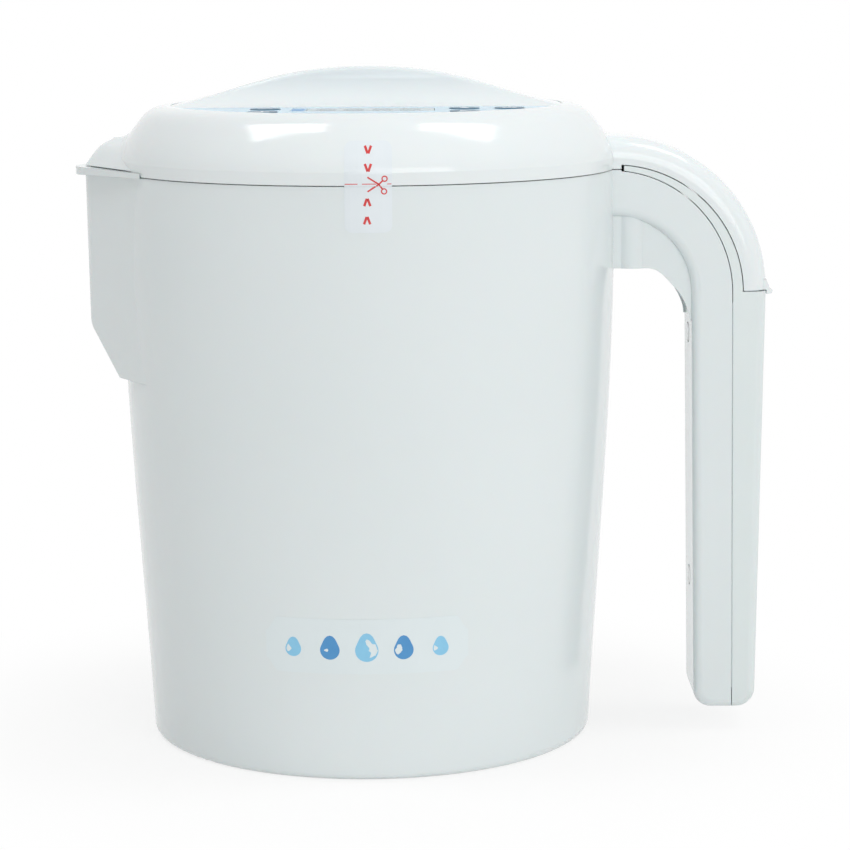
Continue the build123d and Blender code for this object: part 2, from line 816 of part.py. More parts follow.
def is_tail_edge(edge):
    middle = edge.position_at(0.5)
    distance = sqrt((middle.X - arch_x) ** 2 + (middle.Z - tail_low) ** 2)
    on_arc = middle.X > arch_x and abs(distance - tail_radius) < 0.1
    on_root = middle.X < arch_x and abs(middle.Z - tail_low - tail_radius) < 0.1
    return on_side(edge, handle_half_width) and (on_arc or on_root)


def is_bay_edge(edge):
    middle = edge.position_at(0.5)
    distance = sqrt((middle.X - arch_x) ** 2 + (middle.Z - tail_low) ** 2)
    return on_side(edge, handle_half_width - lid_wall) and abs(distance - tail_radius + lid_wall) < 0.1


def tail_hollow():
    duct = area((tail_duct_root_x, tail_duct_low), (cover_start_x + 0.5, tail_duct_high))
    bay = tail_face(tail_radius - lid_wall, tail_inner_radius - 0.5, tail_low + lid_wall)
    bay = bay & area((cover_start_x, tail_low), (outside_reach, lid_top))
    half = handle_half_width - lid_wall
    room = along_y(bay, -half, half)
    room = fillet(room.edges().filter_by(is_bay_edge), tail_rounding - lid_wall)
    return room + along_y(duct, -half + 3, half - 3)


def screw_ring():
    """Places of the lid screws, turned clear of the spout and the tail."""
    step = 360 / lid_screw_count
    angles = [radians(step * (i + 0.5)) for i in range(lid_screw_count)]
    return [(lid_screw_circle * cos(a), lid_screw_circle * sin(a)) for a in angles]


def post_places():
    low = board_y - board_depth / 2 + post_inset
    high = board_y + board_depth / 2 - post_inset
    return [(x, y) for x in (-post_x, post_x) for y in (low, high)]


def board_top():
    return ceiling - seat_clearance - key_flange_height - plunger_height + plunger_seat - switch_height


def is_hood_root(edge):
    """The edge between the hood's ridge and the dome; the blend runs on from it down both sides."""
    middle = edge.position_at(0.5)
    on_ridge = abs(middle.Z - hood_ridge_height) < 0.01 and abs(middle.Y) < 0.1
    return on_ridge and hood_radius - spout_reach + 0.5 < middle.X < -lid_top_radius


def lid_shell():
    shell = lid_outside() + along_spout(hood_side())
    shell = fillet(shell.edges().filter_by(is_hood_root), hood_blend)
    shell += tail()
    shell -= lid_inside()
    shell -= hood_hollow()
    shell -= tail_hollow()
    shell += crest()
    shell -= crest_hollow()
    boss_low = lid_low + base_plate_thickness + seat_clearance
    for x, y in screw_ring():
        shell += rod(screw_boss_radius, boss_low, ceiling + 0.5, x, y)
        shell -= rod(screw_radius + running_clearance, boss_low, lid_low + lid_screw_length + 0.5, x, y)
    for x, y in post_places():
        shell += rod(post_radius, board_top(), ceiling + 0.5, x, y)
        shell -= rod(board_screw_radius + running_clearance, board_top(), ceiling - 1, x, y)
    for x, y in key_places:
        shell -= rod(key_radius + key_gap, ceiling - 1, recess_floor + 1, x, y)
    shell -= along_z(window_face(window_gap), ceiling - 1, recess_floor + 1)
    return shell


def window_face(grow):
    return Pos(window_x, window_y) * rounded(window_width + 2 * grow, window_depth + 2 * grow, 1.5 + grow)


def control_panel():
    straight = -(crest_half_thickness + crest_cove_radius + overlay_edge_gap)
    front = area((-panel_radius, -panel_radius), (panel_radius, straight))
    face = Circle(panel_radius - overlay_edge_gap) & front
    for x, y in key_places:
        face -= Pos(x, y) * Circle(key_radius + key_gap)
    face -= window_face(window_gap)
    return along_z(face, recess_floor, recess_floor + overlay_thickness)


def display_window():
    top = recess_floor + overlay_thickness
    return along_z(window_face(0), top - window_thickness, top)


def key(x, y):
    top = recess_floor + overlay_thickness + key_proud
    flange_top = ceiling - seat_clearance
    cap = rod(key_radius, flange_top - key_flange_height, top, x, y)
    cap = fillet(cap.edges().sort_by(Axis.Z)[-1], 0.2)
    return cap + rod(key_radius + key_flange, flange_top - key_flange_height, flange_top, x, y)


def plunger(x, y):
    top = ceiling - seat_clearance - key_flange_height
    return rod(plunger_radius, top - plunger_height, top, x, y)


def tact_switch(x, y):
    body = block((switch_size, switch_size, switch_height), (x, y), board_top())
    top = board_top() + switch_height
    return body - rod(plunger_radius + seat_clearance, top - switch_bore_depth, top, x, y)


def control_board():
    plan = Pos(0, board_y) * rounded(board_width, board_depth, board_corner)
    for x, y in post_places():
        plan -= Pos(x, y) * Circle(board_screw_radius + seat_clearance)
    return along_z(plan, board_top() - board_thickness, board_top())


def board_screw(x, y):
    under = board_top() - board_thickness
    shank = rod(board_screw_radius, under, ceiling - 2, x, y)
    return shank + rod(board_screw_head_radius, under - 1.8, under, x, y)


def under_board(height):
    return board_top() - board_thickness - height


def display_module():
    size = (window_width + 4, window_depth + 2, display_height)
    return block(size, (window_x, window_y), board_top())


def relay():
    return block(relay_size, relay_place, under_board(relay_size[2]))


def filter_capacitor():
    x, y = capacitor_place
    face = Pos(x, under_board(capacitor_radius)) * Circle(capacitor_radius)
    return along_y(face, y - capacitor_length / 2, y + capacitor_length / 2)


def fuse():
    """Glass body with a metal cap on each end."""
    x, y = fuse_place
    axis = Pos(y, under_board(fuse_radius))
    body = along_x(axis * Circle(fuse_radius - 0.3), x - fuse_length / 2, x + fuse_length / 2)
    for end in (x - fuse_length / 2, x + fuse_length / 2 - 5):
        body += along_x(axis * Circle(fuse_radius), end, end + 5)
    return body


def buzzer():
    x, y = buzzer_place
    low = under_board(buzzer_height)
    mouth = tube(buzzer_radius, 1.0, low, low + 1.5, x, y)
    return mouth + rod(buzzer_radius, low + 1.5, low + buzzer_height, x, y)


def heat_sink():
    """An extruded sink: a plate against the board with fins pointing down."""
    length, width, height = sink_size
    x, y = sink_place
    plate = 1.8
    top = under_board(0)
    profile = area((y - width / 2, top - plate), (y + width / 2, top))
    pitch = (width - sink_fin_thickness) / (sink_fin_count - 1)
    for i in range(sink_fin_count):
        left = y - width / 2 + i * pitch
        profile += area((left, top - height), (left + sink_fin_thickness, top))
    return along_x(profile, x - length / 2, x + length / 2)


def bridge_rectifier():
    return block(rectifier_size, rectifier_place, under_board(rectifier_size[2]))


def lid_base():
    radius = lid_radius - lid_wall - base_plate_gap
    plate = rod(radius, lid_low, lid_low + base_plate_thickness)
    plug = tube(plug_radius, plug_radius - plug_wall, lid_low - plug_depth, lid_low)
    groove_low = gasket_low - seat_clearance
    groove_high = gasket_low + gasket_height + seat_clearance
    plug -= tube(plug_radius + 1, plug_radius - gasket_groove_depth, groove_low, groove_high)
    base = plate + plug
    for x, y in stud_places():
        base += rod(boss_radius, lid_low - boss_height, lid_low, x, y)
        base -= rod(stud_radius + seat_clearance, lid_low - boss_height, stud_top, x, y)
    for x, y in screw_ring():
        base -= rod(screw_radius + seat_clearance, lid_low, lid_low + base_plate_thickness, x, y)
    return base


def lid_gasket():
    inner = plug_radius - gasket_groove_depth + running_clearance
    mid = gasket_low + gasket_height / 2
    outline = Polyline(
        (inner, gasket_low),
        (plug_radius, gasket_low),
        (plug_radius + gasket_reach, mid),
        (plug_radius, gasket_low + gasket_height),
        (inner, gasket_low + gasket_height),
        (inner, gasket_low),
    )
    return turned(make_face(outline))


def lid_screw(x, y):
    shank = rod(screw_radius, lid_low, lid_low + lid_screw_length, x, y)
    return shank + rod(screw_head_radius, lid_low - screw_head_height, lid_low, x, y)


def stud_places():
    return [(0, 0), (0, -cathode_y), (0, cathode_y)]


def electrode(y, width, low, thickness):
    """A slotted plate welded to its threaded stud, with the collar that presses on the seal."""
    plate = area((-width / 2, low), (width / 2, electrode_top))
    slot_length = (electrode_top - low) * 0.7
    middle = (electrode_top + low) / 2
    for x in (-width / 4, 0, width / 4):
        plate -= Pos(x, middle) * SlotOverall(slot_length, electrode_slot_width, rotation=90)
    body = along_y(plate, y - thickness / 2, y + thickness / 2)
    collar_top = lid_low - boss_height - seal_thickness
    body += rod(stud_radius, electrode_top - 4, stud_top, 0, y)
    return body + rod(collar_radius, collar_top - collar_height, collar_top, 0, y)


def electrode_seal(x, y):
    top = lid_low - boss_height
    return tube(collar_radius, stud_radius + seat_clearance, top - seal_thickness, top, x, y)


def ring_terminal(x, y):
    """A ring under the nut, with a tongue and a crimped barrel for the lead."""
    low = lid_low + base_plate_thickness
    face = Pos(x, y) * Circle(collar_radius) + area((x, y - 1.5), (x + terminal_tongue, y + 1.5))
    ring = along_z(face - Pos(x, y) * Circle(stud_radius + seat_clearance), low, low + terminal_thickness)
    section = Pos(y, barrel_height()) * Circle(barrel_radius)
    return ring + along_x(section, x + nut_width / 2 + 1, x + terminal_tongue)


def barrel_height():
    return lid_low + base_plate_thickness + barrel_radius + 0.1


def terminal_nut(x, y):
    low = lid_low + base_plate_thickness + terminal_thickness
    hexagon = RegularPolygon(nut_width / 2, 6, major_radius=False) - Circle(stud_radius + seat_clearance)
    return along_z(Pos(x, y) * hexagon, low, low + nut_height)


def electrode_lead(x, y):
    """A lead from a terminal's barrel up to the underside of the board."""
    low = barrel_height()
    start = x + terminal_tongue
    y_board = min(y, board_y + board_depth / 2 - 4)
    points = [(start, y, low), (start + 4, y, low)]
    if y > y_board:
        points.append((start + 5, y_board, low + 0.5))
    points.append((points[-1][0], y_board, under_board(0)))
    return wire(points, thin_lead_radius)


def pin_holder():
    """The block in the tail that carries the contact pins."""
    low = arch_height + tail_inner_radius + 0.1
    half = handle_half_width - lid_wall - seam_gap
    holder = along_z(area((cover_start_x + 0.3, -half), (contact_x + 5, half)), low, pin_top())
    for x, y in at_contacts(lambda x, y: (x, y)):
        holder -= rod(contact_pin_radius + running_clearance, low, pin_top(), x, y)
    return holder


def contact_pin(x, y):
    pin = rod(contact_pin_radius, pin_top() - contact_pin_length, pin_top(), x, y)
    return fillet(pin.edges().sort_by(Axis.Z)[0], contact_pin_radius * 0.6)


def pin_top():
    return tail_duct_high - 1.5


def power_lead(side):
    """A lead from a contact pin's place in the holder to the underside of the board."""
    y = side * 6.0
    y_board = side * 2.75 - 1.75
    x_board = board_width / 2 - 2.5
    z = (tail_duct_low + tail_duct_high) / 2
    points = (
        (cover_start_x + 0.2, y, z),
        (tail_root_x - 1, y, z),
        ((tail_root_x - 1 + x_board) / 2, (y + y_board) / 2, z + 0.4),
        (x_board, y_board, z + 1.2),
        (x_board, y_board, under_board(0)),
    )
    return wire(points, lead_radius)


def vessel_plan(inset):
    return rounded(vessel_width - 2 * inset, vessel_depth - 2 * inset, vessel_corner - inset)


def vessel_frame():
    """The acid water vessel: an open-topped box with windows for the diaphragm."""
    body = along_z(vessel_plan(0), vessel_low, vessel_top)
    body += along_z(vessel_plan(-vessel_rim), vessel_top - vessel_rim_height, vessel_top)
    body -= along_z(vessel_plan(vessel_wall), vessel_low + vessel_wall, vessel_top)
    half = vessel_window_width / 2
    window = area((-half, vessel_window_low), (half, vessel_window_high))
    return body - along_y(window, -vessel_depth, vessel_depth)


def diaphragm():
    outer = vessel_plan(vessel_wall + seat_clearance)
    inner = vessel_plan(vessel_wall + seat_clearance + diaphragm_thickness)
    low = vessel_window_low - diaphragm_margin
    return along_z(outer - inner, low, vessel_window_high + diaphragm_margin)


def diaphragm_clip():
    """A cage that presses the diaphragm against the vessel's wall."""
    inset = vessel_wall + 2 * seat_clearance + diaphragm_thickness
    low = vessel_low + vessel_wall + seat_clearance
    high = vessel_window_high + diaphragm_margin
    cage = along_z(vessel_plan(inset) - vessel_plan(inset + clip_thickness), low, high)
    half = vessel_window_width / 2
    window = area((-half, vessel_window_low), (half, high - clip_rim))
    cage -= along_y(window, -vessel_depth, vessel_depth)
    side = vessel_depth / 2 - vessel_corner + 1
    end_window = area((-side, vessel_window_low), (side, high - clip_rim))
    return cage - along_x(end_window, -vessel_width, vessel_width)


def save(name, shape):
    """Write one node; a list is a group of separate solids."""
    if isinstance(shape, list):
        shape = Compound(children=[part.solid() for part in shape])
    export_step(shape, f"parts/{name}.step")


def group(make, places):
    return [make(x, y) for x, y in places]


shell = handle_shell()
save("jug_body", jug_body(shell))
save("handle_rear_cover", handle_rear_cover(shell))
save("handle_screws", handle_screws())
save("mains_inlet", mains_inlet())
save("inlet_pins", inlet_pins())
save("contact_sleeves", at_contacts(contact_sleeve))
save("handle_leads", [handle_lead(side) for side in (-1, 1)])

save("lid_shell", lid_shell())
save("control_panel", control_panel())
save("display_window", display_window())
save("display_module", display_module())
save("control_board", control_board())
save("board_screws", group(board_screw, post_places()))
save("tact_switches", group(tact_switch, key_places))
save("relay", relay())
save("filter_capacitor", filter_capacitor())
save("fuse", fuse())
save("buzzer", buzzer())
save("heat_sink", heat_sink())
save("bridge_rectifier", bridge_rectifier())
save("lid_base", lid_base())
save("lid_gasket", lid_gasket())
save("lid_screws", group(lid_screw, screw_ring()))
save("anode", electrode(0, anode_width, anode_low, anode_thickness))
save("cathode_front", electrode(-cathode_y, cathode_width, cathode_low, cathode_thickness))
save("cathode_rear", electrode(cathode_y, cathode_width, cathode_low, cathode_thickness))
save("electrode_seals", group(electrode_seal, stud_places()))
save("ring_terminals", group(ring_terminal, stud_places()))
save("terminal_nuts", group(terminal_nut, stud_places()))
save("electrode_leads", group(electrode_lead, stud_places()))
save("pin_holder", pin_holder())
save("contact_pins", at_contacts(contact_pin))
save("power_leads", [power_lead(side) for side in (-1, 1)])

for name, (x, y) in zip(key_names, key_places):
    save(f"key_{name}", key(x, y))
    save(f"plunger_{name}", plunger(x, y))

save("vessel_frame", vessel_frame())
save("diaphragm", diaphragm())
save("diaphragm_clip", diaphragm_clip())
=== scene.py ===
import json
import math

import bmesh
import bpy
from mathutils import Matrix, Quaternion, Vector
from mathutils.bvhtree import BVHTree


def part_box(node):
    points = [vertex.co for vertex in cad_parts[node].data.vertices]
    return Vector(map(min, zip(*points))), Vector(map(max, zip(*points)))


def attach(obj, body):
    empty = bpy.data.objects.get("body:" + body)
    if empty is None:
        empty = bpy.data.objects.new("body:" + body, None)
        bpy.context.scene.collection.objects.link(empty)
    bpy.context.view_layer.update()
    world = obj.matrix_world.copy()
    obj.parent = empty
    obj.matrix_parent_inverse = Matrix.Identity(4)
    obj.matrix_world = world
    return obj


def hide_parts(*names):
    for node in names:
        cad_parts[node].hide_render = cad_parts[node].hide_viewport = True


# Water ionizer jug: cool white moulded plastic, a clear seal across the lid and a printed sticker low on the front.

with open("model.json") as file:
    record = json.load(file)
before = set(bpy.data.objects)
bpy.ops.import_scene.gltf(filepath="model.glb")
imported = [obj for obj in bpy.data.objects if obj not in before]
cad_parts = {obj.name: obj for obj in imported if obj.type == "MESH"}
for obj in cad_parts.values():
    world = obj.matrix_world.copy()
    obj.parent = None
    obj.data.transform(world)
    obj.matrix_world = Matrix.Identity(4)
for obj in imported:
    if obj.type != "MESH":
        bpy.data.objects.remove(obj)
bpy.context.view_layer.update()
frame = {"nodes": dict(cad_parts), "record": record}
nodes = frame["nodes"]
print("frame loaded:", len(nodes), "nodes")

mm = 0.001


def toLinear(hexColour):
    channels = [int(hexColour[i:i + 2], 16) / 255 for i in (1, 3, 5)]
    return [c / 12.92 if c <= 0.04045 else ((c + 0.055) / 1.055) ** 2.4 for c in channels] + [1.0]


def addNode(tree, kind, settings=None, links=None):
    node = tree.nodes.new(kind)
    for name, value in (settings or {}).items():
        if isinstance(name, str) and name not in node.inputs:
            setattr(node, name, value)
        else:
            node.inputs[name].default_value = value
    for name, source in (links or {}).items():
        tree.links.new(source, node.inputs[name])
    return node


# Camera, found from the ellipses of the lid, the seam and the base in the picture
camera = {
    "place": (19.334 * mm, -964.449 * mm, 262.222 * mm),
    "pitch": 0.1608,  # radians below the horizon
    "roll": 0.00589,
    "lens": 2800 / 850 * 36,
}
cameraObject = bpy.data.objects.new("camera", bpy.data.cameras.new("camera"))
bpy.context.scene.collection.objects.link(cameraObject)
cameraObject.data.sensor_width = 36
cameraObject.data.lens = camera["lens"]
cameraObject.data.clip_start = 0.05
cameraObject.data.clip_end = 50
cameraObject.matrix_world = (
    Matrix.Translation(camera["place"])
    @ Matrix.Rotation(math.pi / 2 - camera["pitch"], 4, "X")
    @ Matrix.Rotation(-camera["roll"], 4, "Z")
)
bpy.context.scene.camera = cameraObject
print("camera placed")


def seesWhite(tree):
    # 1 for camera, glossy and transmission rays, which see the white background
    paths = addNode(tree, "ShaderNodeLightPath")
    shiny = addNode(tree, "ShaderNodeMath", {"operation": "MAXIMUM"},
                    {0: paths.outputs["Is Glossy Ray"], 1: paths.outputs["Is Transmission Ray"]})
    return addNode(tree, "ShaderNodeMath", {"operation": "MAXIMUM"},
                   {0: paths.outputs["Is Camera Ray"], 1: shiny.outputs[0]})


# Studio: a pale sweep, a soft world a little brighter from the right, two overhead boxes and one wide front fill
studio = {
    "floorColour": "#F4F4F3",
    "worldColour": "#FDFEFE",
    "floorSize": 6.0,
    "worldStrength": 0.577,
    "rightSwing": 0.175,  # how much brighter the world is from the right than from ahead
    "shadowShare": 0.24,  # how much of the floor beside the jug shows its real shadow
    "shadowNear": 0.07,  # metres from the jug's axis: the floor's shadow fades out between these
    "shadowFar": 0.20,
}
softBoxes = [
    # name, place, aimed at, width, height, turn in degrees, watts
    ("boxLeft", (-0.53, -0.10, 1.42), (0, -0.02, 0.2), 0.40, 0.56, -24, 4.5),
    ("boxRight", (0.63, -0.07, 1.42), (0, -0.02, 0.2), 0.36, 0.58, 20, 3.9),
    ("frontFill", (0.52, -1.48, 0.62), (0, 0, 0.12), 1.2, 0.8, 0, 7.5),
]


def buildStudio():
    scene = bpy.context.scene
    scene.view_settings.view_transform = "Standard"
    world = bpy.data.worlds.new("studioWorld")
    scene.world = world
    world.use_nodes = True
    tree = world.node_tree
    tree.nodes.clear()
    heading = addNode(tree, "ShaderNodeTexCoord")
    parts = addNode(tree, "ShaderNodeSeparateXYZ", None, {0: heading.outputs["Generated"]})
    level = addNode(tree, "ShaderNodeMath", {"operation": "MULTIPLY_ADD", 1: studio["rightSwing"],
                                             2: studio["worldStrength"]}, {0: parts.outputs["X"]})
    light = addNode(tree, "ShaderNodeBackground", {"Color": toLinear(studio["worldColour"])},
                    {"Strength": level.outputs[0]})
    white = addNode(tree, "ShaderNodeBackground", {"Color": (1, 1, 1, 1), "Strength": 1.0})
    shown = seesWhite(tree)
    mix = addNode(tree, "ShaderNodeMixShader", None,
                  {0: shown.outputs[0], 1: light.outputs[0], 2: white.outputs[0]})
    addNode(tree, "ShaderNodeOutputWorld", None, {"Surface": mix.outputs[0]})

    half = studio["floorSize"] / 2
    mesh = bpy.data.meshes.new("floor")
    mesh.from_pydata([(-half, -half, 0), (half, -half, 0), (half, half, 0), (-half, half, 0)], [], [(0, 1, 2, 3)])
    floor = bpy.data.objects.new("floor", mesh)
    scene.collection.objects.link(floor)
    material = bpy.data.materials.new("paperSweep")
    material.use_nodes = True
    tree = material.node_tree
    tree.nodes.clear()
    spot = addNode(tree, "ShaderNodeTexCoord")
    reach = addNode(tree, "ShaderNodeVectorMath", {"operation": "LENGTH"}, {0: spot.outputs["Object"]})
    keep = addNode(tree, "ShaderNodeMapRange", {
        "interpolation_type": "SMOOTHSTEP", "From Min": studio["shadowNear"], "From Max": studio["shadowFar"],
        "To Min": 1 - studio["shadowShare"], "To Max": 1.0,
    }, {"Value": reach.outputs["Value"]})
    paper = addNode(tree, "ShaderNodeBsdfDiffuse", {"Color": toLinear(studio["floorColour"])})
    glow = addNode(tree, "ShaderNodeEmission", {"Color": (1, 1, 1, 1), "Strength": 1.0})
    shown = seesWhite(tree)
    share = addNode(tree, "ShaderNodeMath", {"operation": "MULTIPLY"}, {0: shown.outputs[0], 1: keep.outputs[0]})
    mix = addNode(tree, "ShaderNodeMixShader", None, {0: share.outputs[0], 1: paper.outputs[0], 2: glow.outputs[0]})
    addNode(tree, "ShaderNodeOutputMaterial", None, {"Surface": mix.outputs[0]})
    mesh.materials.append(material)

    for name, place, target, width, height, turn, watts in softBoxes:
        lamp = bpy.data.lights.new(name, "AREA")
        lamp.shape = "RECTANGLE"
        lamp.size = width
        lamp.size_y = height
        lamp.energy = watts
        holder = bpy.data.objects.new(name, lamp)
        scene.collection.objects.link(holder)
        holder.location = place
        aim = Vector(target) - Vector(place)
        holder.rotation_mode = "QUATERNION"
        holder.rotation_quaternion = aim.to_track_quat("-Z", "Y") @ Quaternion((0, 0, 1), math.radians(turn))


buildStudio()
print("studio built")


# Finishes. Sizes of patterns are in millimetres on the real object.
finishes = {
    # injection moulded ABS, polished tool: glossy, with faint flow waves and a slight cool tint
    "glossWhiteAbs": {
        "colour": "#DEE4E5", "other": "#DAE1E2", "patchMm": 60, "roughness": 0.15, "roughSpread": 0.04,
        "grainMm": 0.9, "grainDepthMm": 0.003, "waveMm": 28, "waveDepthMm": 0.012, "scatter": 0.06, "edgeMm": 0.35,
    },
    # the same resin as the jug, its colour painted lighter on the lid: painted light standing in for the light that
    # falls on it from above
    "lidAbsPaintedLighter": {
        "colour": "#E3E8E9", "other": "#DFE5E6", "patchMm": 50, "roughness": 0.12, "roughSpread": 0.03,
        "grainMm": 0.9, "grainDepthMm": 0.003, "waveMm": 22, "waveDepthMm": 0.010, "scatter": 0.06, "edgeMm": 0.35,
    },
    # ABS from a spark-eroded tool: an even fine grain that dulls the shine
    "sparkErodedAbs": {
        "colour": "#DCE3E3", "other": "#D7DFDF", "patchMm": 30, "roughness": 0.38, "roughSpread": 0.06,
        "grainMm": 0.55, "grainDepthMm": 0.02, "waveMm": 30, "waveDepthMm": 0.008, "scatter": 0.05, "edgeMm": 0.3,
    },
    # screen-printed polycarbonate film, glossy: from low down it mirrors the white round it
    "printedBlueFilm": {
        "colour": "#B4D3E8", "other": "#A6CAE3", "patchMm": 45, "roughness": 0.16, "roughSpread": 0.03,
        "grainMm": 0.35, "grainDepthMm": 0.004, "edgeMm": 0.1, "ior": 1.58,
    },
    # moulded keys in a deep teal
    "tealKeyPlastic": {
        "colour": "#1C5E7B", "other": "#17536E", "patchMm": 6, "roughness": 0.3, "roughSpread": 0.05,
        "grainMm": 0.3, "grainDepthMm": 0.004, "edgeMm": 0.25,
    },
    # tinted acrylic over the display
    "tintedAcrylic": {
        "colour": "#5D6E78", "other": "#7F97A4", "patchMm": 40, "roughness": 0.06, "roughSpread": 0.02,
        "grainMm": 1.0, "grainDepthMm": 0.001, "ior": 1.49,
    },
    "liquidCrystalCell": {
        "colour": "#8E9C88", "other": "#86947F", "patchMm": 20, "roughness": 0.12, "roughSpread": 0.03,
        "grainMm": 0.5, "grainDepthMm": 0.001, "ior": 1.52,
    },
    # glass fibre board under green solder mask, with the tracks showing as a faint relief
    "solderMaskBoard": {
        "colour": "#1B5B33", "other": "#2C7A48", "patchMm": 3, "roughness": 0.3, "roughSpread": 0.05,
        "grainMm": 2.4, "grainDepthMm": 0.03, "sharpPatch": True,
    },
    "blackPolyamide": {
        "colour": "#17181A", "other": "#1E2022", "patchMm": 8, "roughness": 0.42, "roughSpread": 0.08,
        "grainMm": 0.4, "grainDepthMm": 0.01, "edgeMm": 0.2,
    },
    "blueRelayCase": {
        "colour": "#24508F", "other": "#1F4780", "patchMm": 9, "roughness": 0.3, "roughSpread": 0.05,
        "grainMm": 0.4, "grainDepthMm": 0.006, "edgeMm": 0.25,
    },
    "shrinkSleeve": {
        "colour": "#2B2F55", "other": "#25294B", "patchMm": 6, "roughness": 0.28, "roughSpread": 0.05,
        "grainMm": 0.5, "grainDepthMm": 0.004,
    },
    "fuseGlass": {
        "colour": "#E8EEEE", "other": "#DDE6E6", "patchMm": 5, "roughness": 0.05, "roughSpread": 0.01,
        "grainMm": 1.0, "grainDepthMm": 0.001, "transmission": 0.85, "ior": 1.5,
    },
    # zinc plate on steel: pale blue-grey with fine turning marks
    "zincPlatedSteel": {
        "colour": "#C3C7CC", "other": "#B5BAC1", "patchMm": 2, "roughness": 0.34, "roughSpread": 0.08,
        "grainMm": 0.25, "grainDepthMm": 0.004, "metallic": 1.0,
    },
    "stampedTinnedSteel": {
        "colour": "#B9BBBC", "other": "#A9ABAD", "patchMm": 3, "roughness": 0.38, "roughSpread": 0.08,
        "grainMm": 0.4, "grainDepthMm": 0.004, "metallic": 1.0,
    },
    # stainless sheet, rolled and lightly brushed along its length
    "rolledStainless": {
        "colour": "#C9CBCC", "other": "#BDBFC1", "patchMm": 12, "roughness": 0.3, "roughSpread": 0.1,
        "grainMm": 0.35, "grainDepthMm": 0.006, "metallic": 1.0, "stretch": (1, 1, 0.04),
    },
    # titanium with a thin platinum coat: a little darker and matt
    "platinisedTitanium": {
        "colour": "#A5A6AA", "other": "#98999E", "patchMm": 10, "roughness": 0.45, "roughSpread": 0.08,
        "grainMm": 0.3, "grainDepthMm": 0.01, "metallic": 1.0,
    },
    "nickelPlatedBrass": {
        "colour": "#D2CDBF", "other": "#C6C0B0", "patchMm": 3, "roughness": 0.18, "roughSpread": 0.05,
        "grainMm": 0.3, "grainDepthMm": 0.002, "metallic": 1.0,
    },
    "extrudedAluminium": {
        "colour": "#C4C6C8", "other": "#B6B9BC", "patchMm": 8, "roughness": 0.36, "roughSpread": 0.06,
        "grainMm": 0.3, "grainDepthMm": 0.008, "metallic": 1.0, "stretch": (0.04, 1, 1),
    },
    # moulded silicone: milky, soft sheen
    "milkySilicone": {
        "colour": "#E4E3DD", "other": "#DCDBD4", "patchMm": 10, "roughness": 0.48, "roughSpread": 0.06,
        "grainMm": 0.5, "grainDepthMm": 0.006, "scatter": 0.15, "ior": 1.41,
    },
    "redSiliconeSheath": {
        "colour": "#A6332B", "other": "#962C25", "patchMm": 6, "roughness": 0.5, "roughSpread": 0.05,
        "grainMm": 0.4, "grainDepthMm": 0.006, "ior": 1.41,
    },
    # natural polypropylene: slightly see-through, waxy
    "naturalPolypropylene": {
        "colour": "#D7DFE1", "other": "#CDD7DA", "patchMm": 25, "roughness": 0.34, "roughSpread": 0.05,
        "grainMm": 0.6, "grainDepthMm": 0.006, "scatter": 0.2, "edgeMm": 0.3,
    },
    # pressed non-woven cloth: tangled fibres, quite matt
    "pressedNonWoven": {
        "colour": "#E6E2D5", "other": "#D4CFBF", "patchMm": 1.6, "roughness": 0.85, "roughSpread": 0.05,
        "grainMm": 0.45, "grainDepthMm": 0.06,
    },
    # milky vinyl of a tamper seal, calendered smooth, a little whiter than the plastic under it
    "milkyVinyl": {
        "colour": "#E0E6EA", "other": "#DCE3E7", "patchMm": 9, "roughness": 0.24, "roughSpread": 0.05,
        "grainMm": 0.8, "grainDepthMm": 0.004,
    },
    # clear polyester sticker: it takes the white of the plastic behind it and only adds a cool gloss
    "clearPolyester": {
        "colour": "#DDE5E7", "other": "#DAE3E5", "patchMm": 12, "roughness": 0.10, "roughSpread": 0.02,
        "grainMm": 0.9, "grainDepthMm": 0.003,
    },
    "redPrint": {
        "colour": "#D23B3B", "other": "#C83434", "patchMm": 1.5, "roughness": 0.35, "roughSpread": 0.05,
        "grainMm": 0.3, "grainDepthMm": 0.002,
    },
    "bluePrint": {
        "colour": "#4F93C9", "other": "#478BC2", "patchMm": 3, "roughness": 0.3, "roughSpread": 0.05,
        "grainMm": 0.3, "grainDepthMm": 0.002,
    },
    "paleBluePrint": {
        "colour": "#8CC8E6", "other": "#82BFE0", "patchMm": 3, "roughness": 0.3, "roughSpread": 0.05,
        "grainMm": 0.3, "grainDepthMm": 0.002,
    },
    # segments of the display that aren't lit show as a slight shadow in the glass
    "unlitSegment": {
        "colour": "#52616A", "other": "#5A6B75", "patchMm": 6, "roughness": 0.08, "roughSpread": 0.02,
        "grainMm": 1.0, "grainDepthMm": 0.001,
    },
    "whitePrint": {
        "colour": "#F2F5F6", "other": "#E9EEF0", "patchMm": 2, "roughness": 0.35, "roughSpread": 0.05,
        "grainMm": 0.3, "grainDepthMm": 0.002,
    },
}


